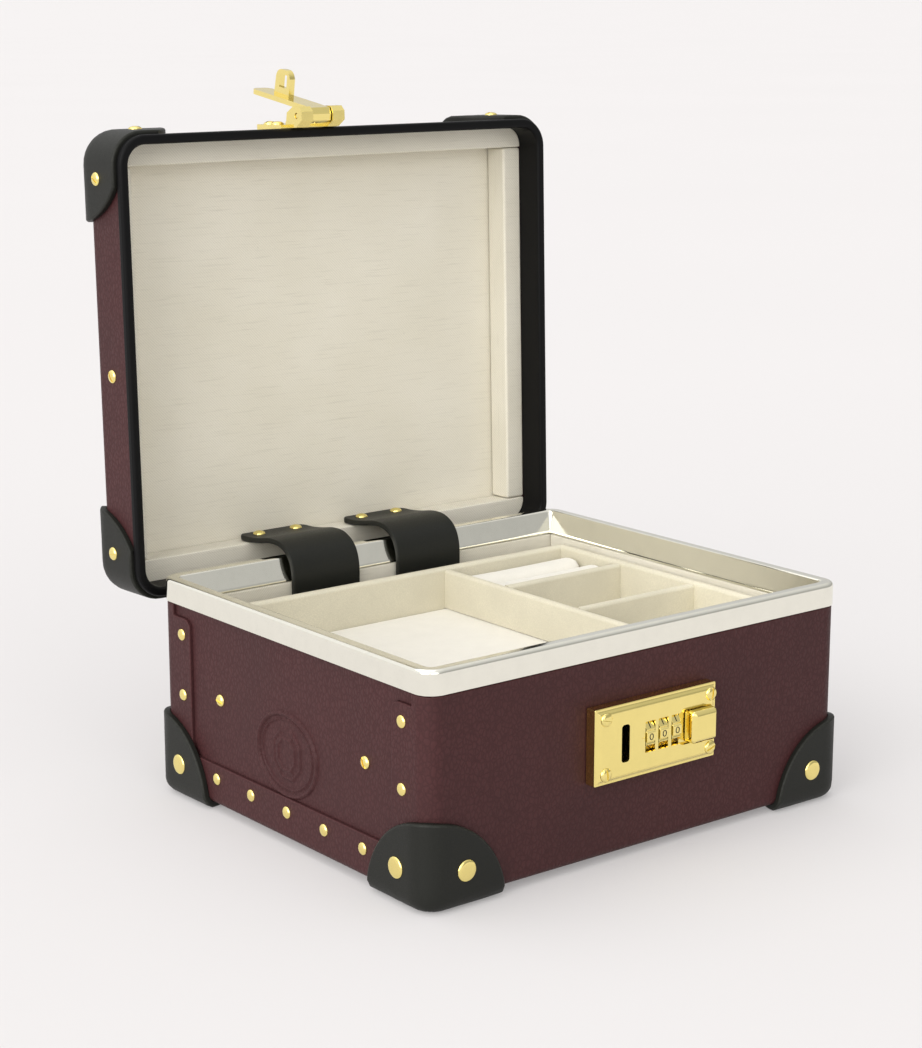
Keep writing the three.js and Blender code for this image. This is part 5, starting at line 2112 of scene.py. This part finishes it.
@dataclass
class LidStraps:
    """Two leather straps that hold the lid open, from its lower board to the base's back."""

    thick: float = 2.2
    end_radius: float = 4.0
    soft: float = 0.6
    route: tuple[Pair, ...] = (
        (199.5, 86.1), (191.5, 86.3), (184.0, 87.2), (176.0, 88.6), (168.5, 88.2),
        (162.4, 84.6), (159.6, 78.0), (159.4, 68.0), (159.4, 56.0),
    )
    rivet_line: float = 194.0
    bend_reach: Pair = (162.5, 187.0)
    bend_level: float = 84.0

    def build(self) -> None:
        """Builds both straps and their rivets."""
        rivets = []
        for name in ("left", "right"):
            low, high = BASE.span(f"strap_{name}")
            self.build_strap(name, (low.x + high.x) / 2, (high.x - low.x) / 2)
            middle = (low.x + high.x) / 2
            top = self.route[0][1] + self.thick / 2 + 0.05
            for x in (middle - 9.0, middle + 9.2):
                open_spot = BASE.place @ Vector((x, self.rivet_line, top))
                up = BASE.place.to_3x3() @ Vector((0, 0, 1))
                back = LID.place.inverted()
                at = back @ open_spot
                facing = back.to_3x3() @ up
                rivets.append(Spot(tuple(at), tuple(facing.normalized())))
        add_heads("strap_rivets", HeadKind.STRAP_RIVET, rivets, LID, GOLD)

    def build_strap(self, name: str, middle: float, half: float) -> None:
        """Builds one strap by laying its blank along the route.

        Args:
            name: Which strap it is.
            middle: Its middle along x.
            half: Half its width.
        """
        length = sum(math.dist(a, b) for a, b in zip(self.route, self.route[1:]))
        blank = self.blank(half, length)
        move(blank, Matrix.Scale(MM, 4))
        mesh = mesh_from("blank", blank)
        path = bpy.data.meshes.new("route")
        points = [BASE.place @ Vector((0, y, z)) for y, z in self.route]
        path.from_pydata(points, [(i, i + 1) for i in range(len(points) - 1)], [])
        guide = placed("route", path)
        holder = placed("blank", mesh)
        modifier = holder.modifiers.new("bend", "NODES")
        modifier.node_group = bend_tree()
        values = {"Route": guide, "Across": middle * MM, "Finish": BLACK_HIDE.material()}
        set_inputs(modifier, values)
        bent = plain_mesh(holder)
        bpy.data.objects.remove(guide)
        shape = bmesh.new()
        shape.from_mesh(bent)
        bmesh.ops.recalc_face_normals(shape, faces=shape.faces)
        shape.to_mesh(bent)
        shape.free()
        free_seat = Seat("", BASE.place)
        strap = add_mesh(f"lid_strap_{name}", bent, free_seat, BLACK_HIDE, [f"strap_{name}"], 50)
        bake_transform(strap)

    def blank(self, half: float, length: float) -> Shape:
        """Builds a strap's flat blank, with rounded edges and rounded corners at its lid end.

        Args:
            half: Half its width.
            length: Its length, along y.

        Returns:
            The blank, lying round z = 0.
        """
        fine = [self.end_radius * (1 - math.cos(math.radians(90 * i / 8))) for i in range(9)]
        rest = round((length - self.end_radius) / 1.2)
        stations = fine + [
            self.end_radius + (length - self.end_radius) * i / rest for i in range(1, rest + 1)
        ]
        points = []
        t = self.thick / 2
        for y in stations:
            left = max(self.end_radius - y, 0.0)
            width = half - self.end_radius + math.sqrt(self.end_radius**2 - left**2)
            tall = t * (0.55 + 0.45 * min(y / 0.4, 1.0))
            soft = min(self.soft, tall - 0.05)
            ring = []
            for sx, sz, start in ((1, 1, 0), (-1, 1, 90), (-1, -1, 180), (1, -1, 270)):
                centre = (sx * (width - soft), sz * (tall - soft))
                ring += arc(centre, soft, start, start + 90, 3)
            points += [(x, y, z) for x, z in ring]
        count = 16
        faces = [list(range(count)), [len(points) - count + i for i in range(count)]]
        for row in range(len(stations) - 1):
            for i in range(count):
                j = (i + 1) % count
                a, b = row * count, (row + 1) * count
                faces.append((a + i, a + j, b + j, b + i))
        return shape_from(points, faces)


# ------------------------------------------------------------------ studio
@dataclass(frozen=True)
class SoftLight:
    """A wide, distant light, which falls evenly over the case and the floor.

    Attributes:
        name: Its name.
        towards: The direction from the case to the light.
        strength: How much of a white surface's brightness it gives, where it falls straight on.
        spread: How wide it is, in degrees.
        colour: Its screen colour.
    """

    name: str
    towards: Point
    strength: float
    spread: float
    colour: Point = (255, 253, 250)


@dataclass
class Studio:
    """The pale floor, the soft lights and the camera."""

    eye: Point = (-0.552, -0.6948, 0.3057)
    azimuth: float = 38.37
    pitch: float = 12.78
    lens: float = 79.9
    sensor: float = 36.0
    sky: float = 0.82
    glow: float = 0.5
    lights: tuple[SoftLight, ...] = (
        SoftLight("overhead", (-0.3, 0.2, 0.93), 0.2, 70.0),
        SoftLight("left", (-0.88, -0.3, 0.36), 0.55, 50.0),
        SoftLight("front", (-0.3, -0.88, 0.36), 0.2, 50.0),
    )

    def build(self) -> None:
        """Builds the whole studio."""
        self.build_floor()
        self.build_world()
        for light in self.lights:
            self.build_light(light)
        self.build_camera()

    def build_floor(self) -> None:
        """Builds the wide pale floor, which fills the picture up to the horizon."""
        half = 400.0
        corners = [(-half, -half, 0), (half, -half, 0), (half, half, 0), (-half, half, 0)]
        mesh = bpy.data.meshes.new("studio_floor")
        mesh.from_pydata(corners, [], [(0, 1, 2, 3)])
        made = bpy.data.materials.new("Studio paper")
        made.use_nodes = True
        sheet = NodeSheet(made.node_tree)
        shader = made.node_tree.nodes["Principled BSDF"]
        place = sheet.add("ShaderNodeTexCoord").outputs["Object"]
        tone = sheet.mix(sheet.noise(place, 1.2, 2.0), srgb(186, 184, 184), srgb(188, 186, 186))
        sheet.feed(shader.inputs["Base Color"], tone)
        sheet.feed(shader.inputs["Emission Color"], tone)
        shader.inputs["Emission Strength"].default_value = self.glow
        shader.inputs["Roughness"].default_value = 0.9
        shader.inputs["Specular IOR Level"].default_value = 0.1
        mesh.materials.append(made)
        floor = placed("studio_floor", mesh)

    def build_world(self) -> None:
        """Fills the world with even, soft light."""
        world = bpy.data.worlds.new("Studio world")
        bpy.context.scene.world = world
        world.use_nodes = True
        background = world.node_tree.nodes["Background"]
        sheet = NodeSheet(world.node_tree)
        way = sheet.add("ShaderNodeTexCoord").outputs["Generated"]
        bright = (-0.45, 0.3, 0.85)
        facing = sheet.add("ShaderNodeVectorMath", {0: way, 1: bright}, operation="DOT_PRODUCT")
        share = sheet.ramp(facing.outputs["Value"], -0.2, 0.7)
        tone = sheet.mix(share, (0.55, 0.55, 0.545, 1.0), (1.25, 1.24, 1.24, 1.0))
        sheet.feed(background.inputs["Color"], tone)
        background.inputs["Strength"].default_value = self.sky

    def build_light(self, soft: SoftLight) -> None:
        """Hangs one soft light.

        Args:
            soft: Where it comes from, and how bright and wide it is.
        """
        light = bpy.data.lights.new(soft.name, "SUN")
        light.angle = math.radians(soft.spread)
        light.energy = soft.strength * math.pi
        light.color = srgb(*soft.colour)[:3]
        lamp = placed(soft.name, light)
        lamp.rotation_euler = Vector(soft.towards).to_track_quat("Z", "Y").to_euler()

    def build_camera(self) -> None:
        """Sets the camera, level, looking down a little."""
        camera = bpy.data.cameras.new("camera")
        camera.lens = self.lens
        camera.sensor_width = self.sensor
        camera.clip_start = 0.01
        camera.clip_end = 2000.0
        holder = placed("camera", camera)
        holder.location = self.eye
        tilt = math.radians(90 - self.pitch)
        holder.rotation_euler = (tilt, 0, math.radians(-self.azimuth))
        scene = bpy.context.scene
        scene.camera = holder
        scene.view_settings.view_transform = "Standard"


def main() -> None:
    """Builds the case and the studio."""
    logging.basicConfig(level=logging.INFO, format="%(message)s")
    for part in (BaseShell(), LiftOutTray(), ComboLock(), LidShell(), Hasp(), LidStraps(), Studio()):
        log.info("building %s", type(part).__name__)
        part.build()


if __name__ == "__main__":
    main()
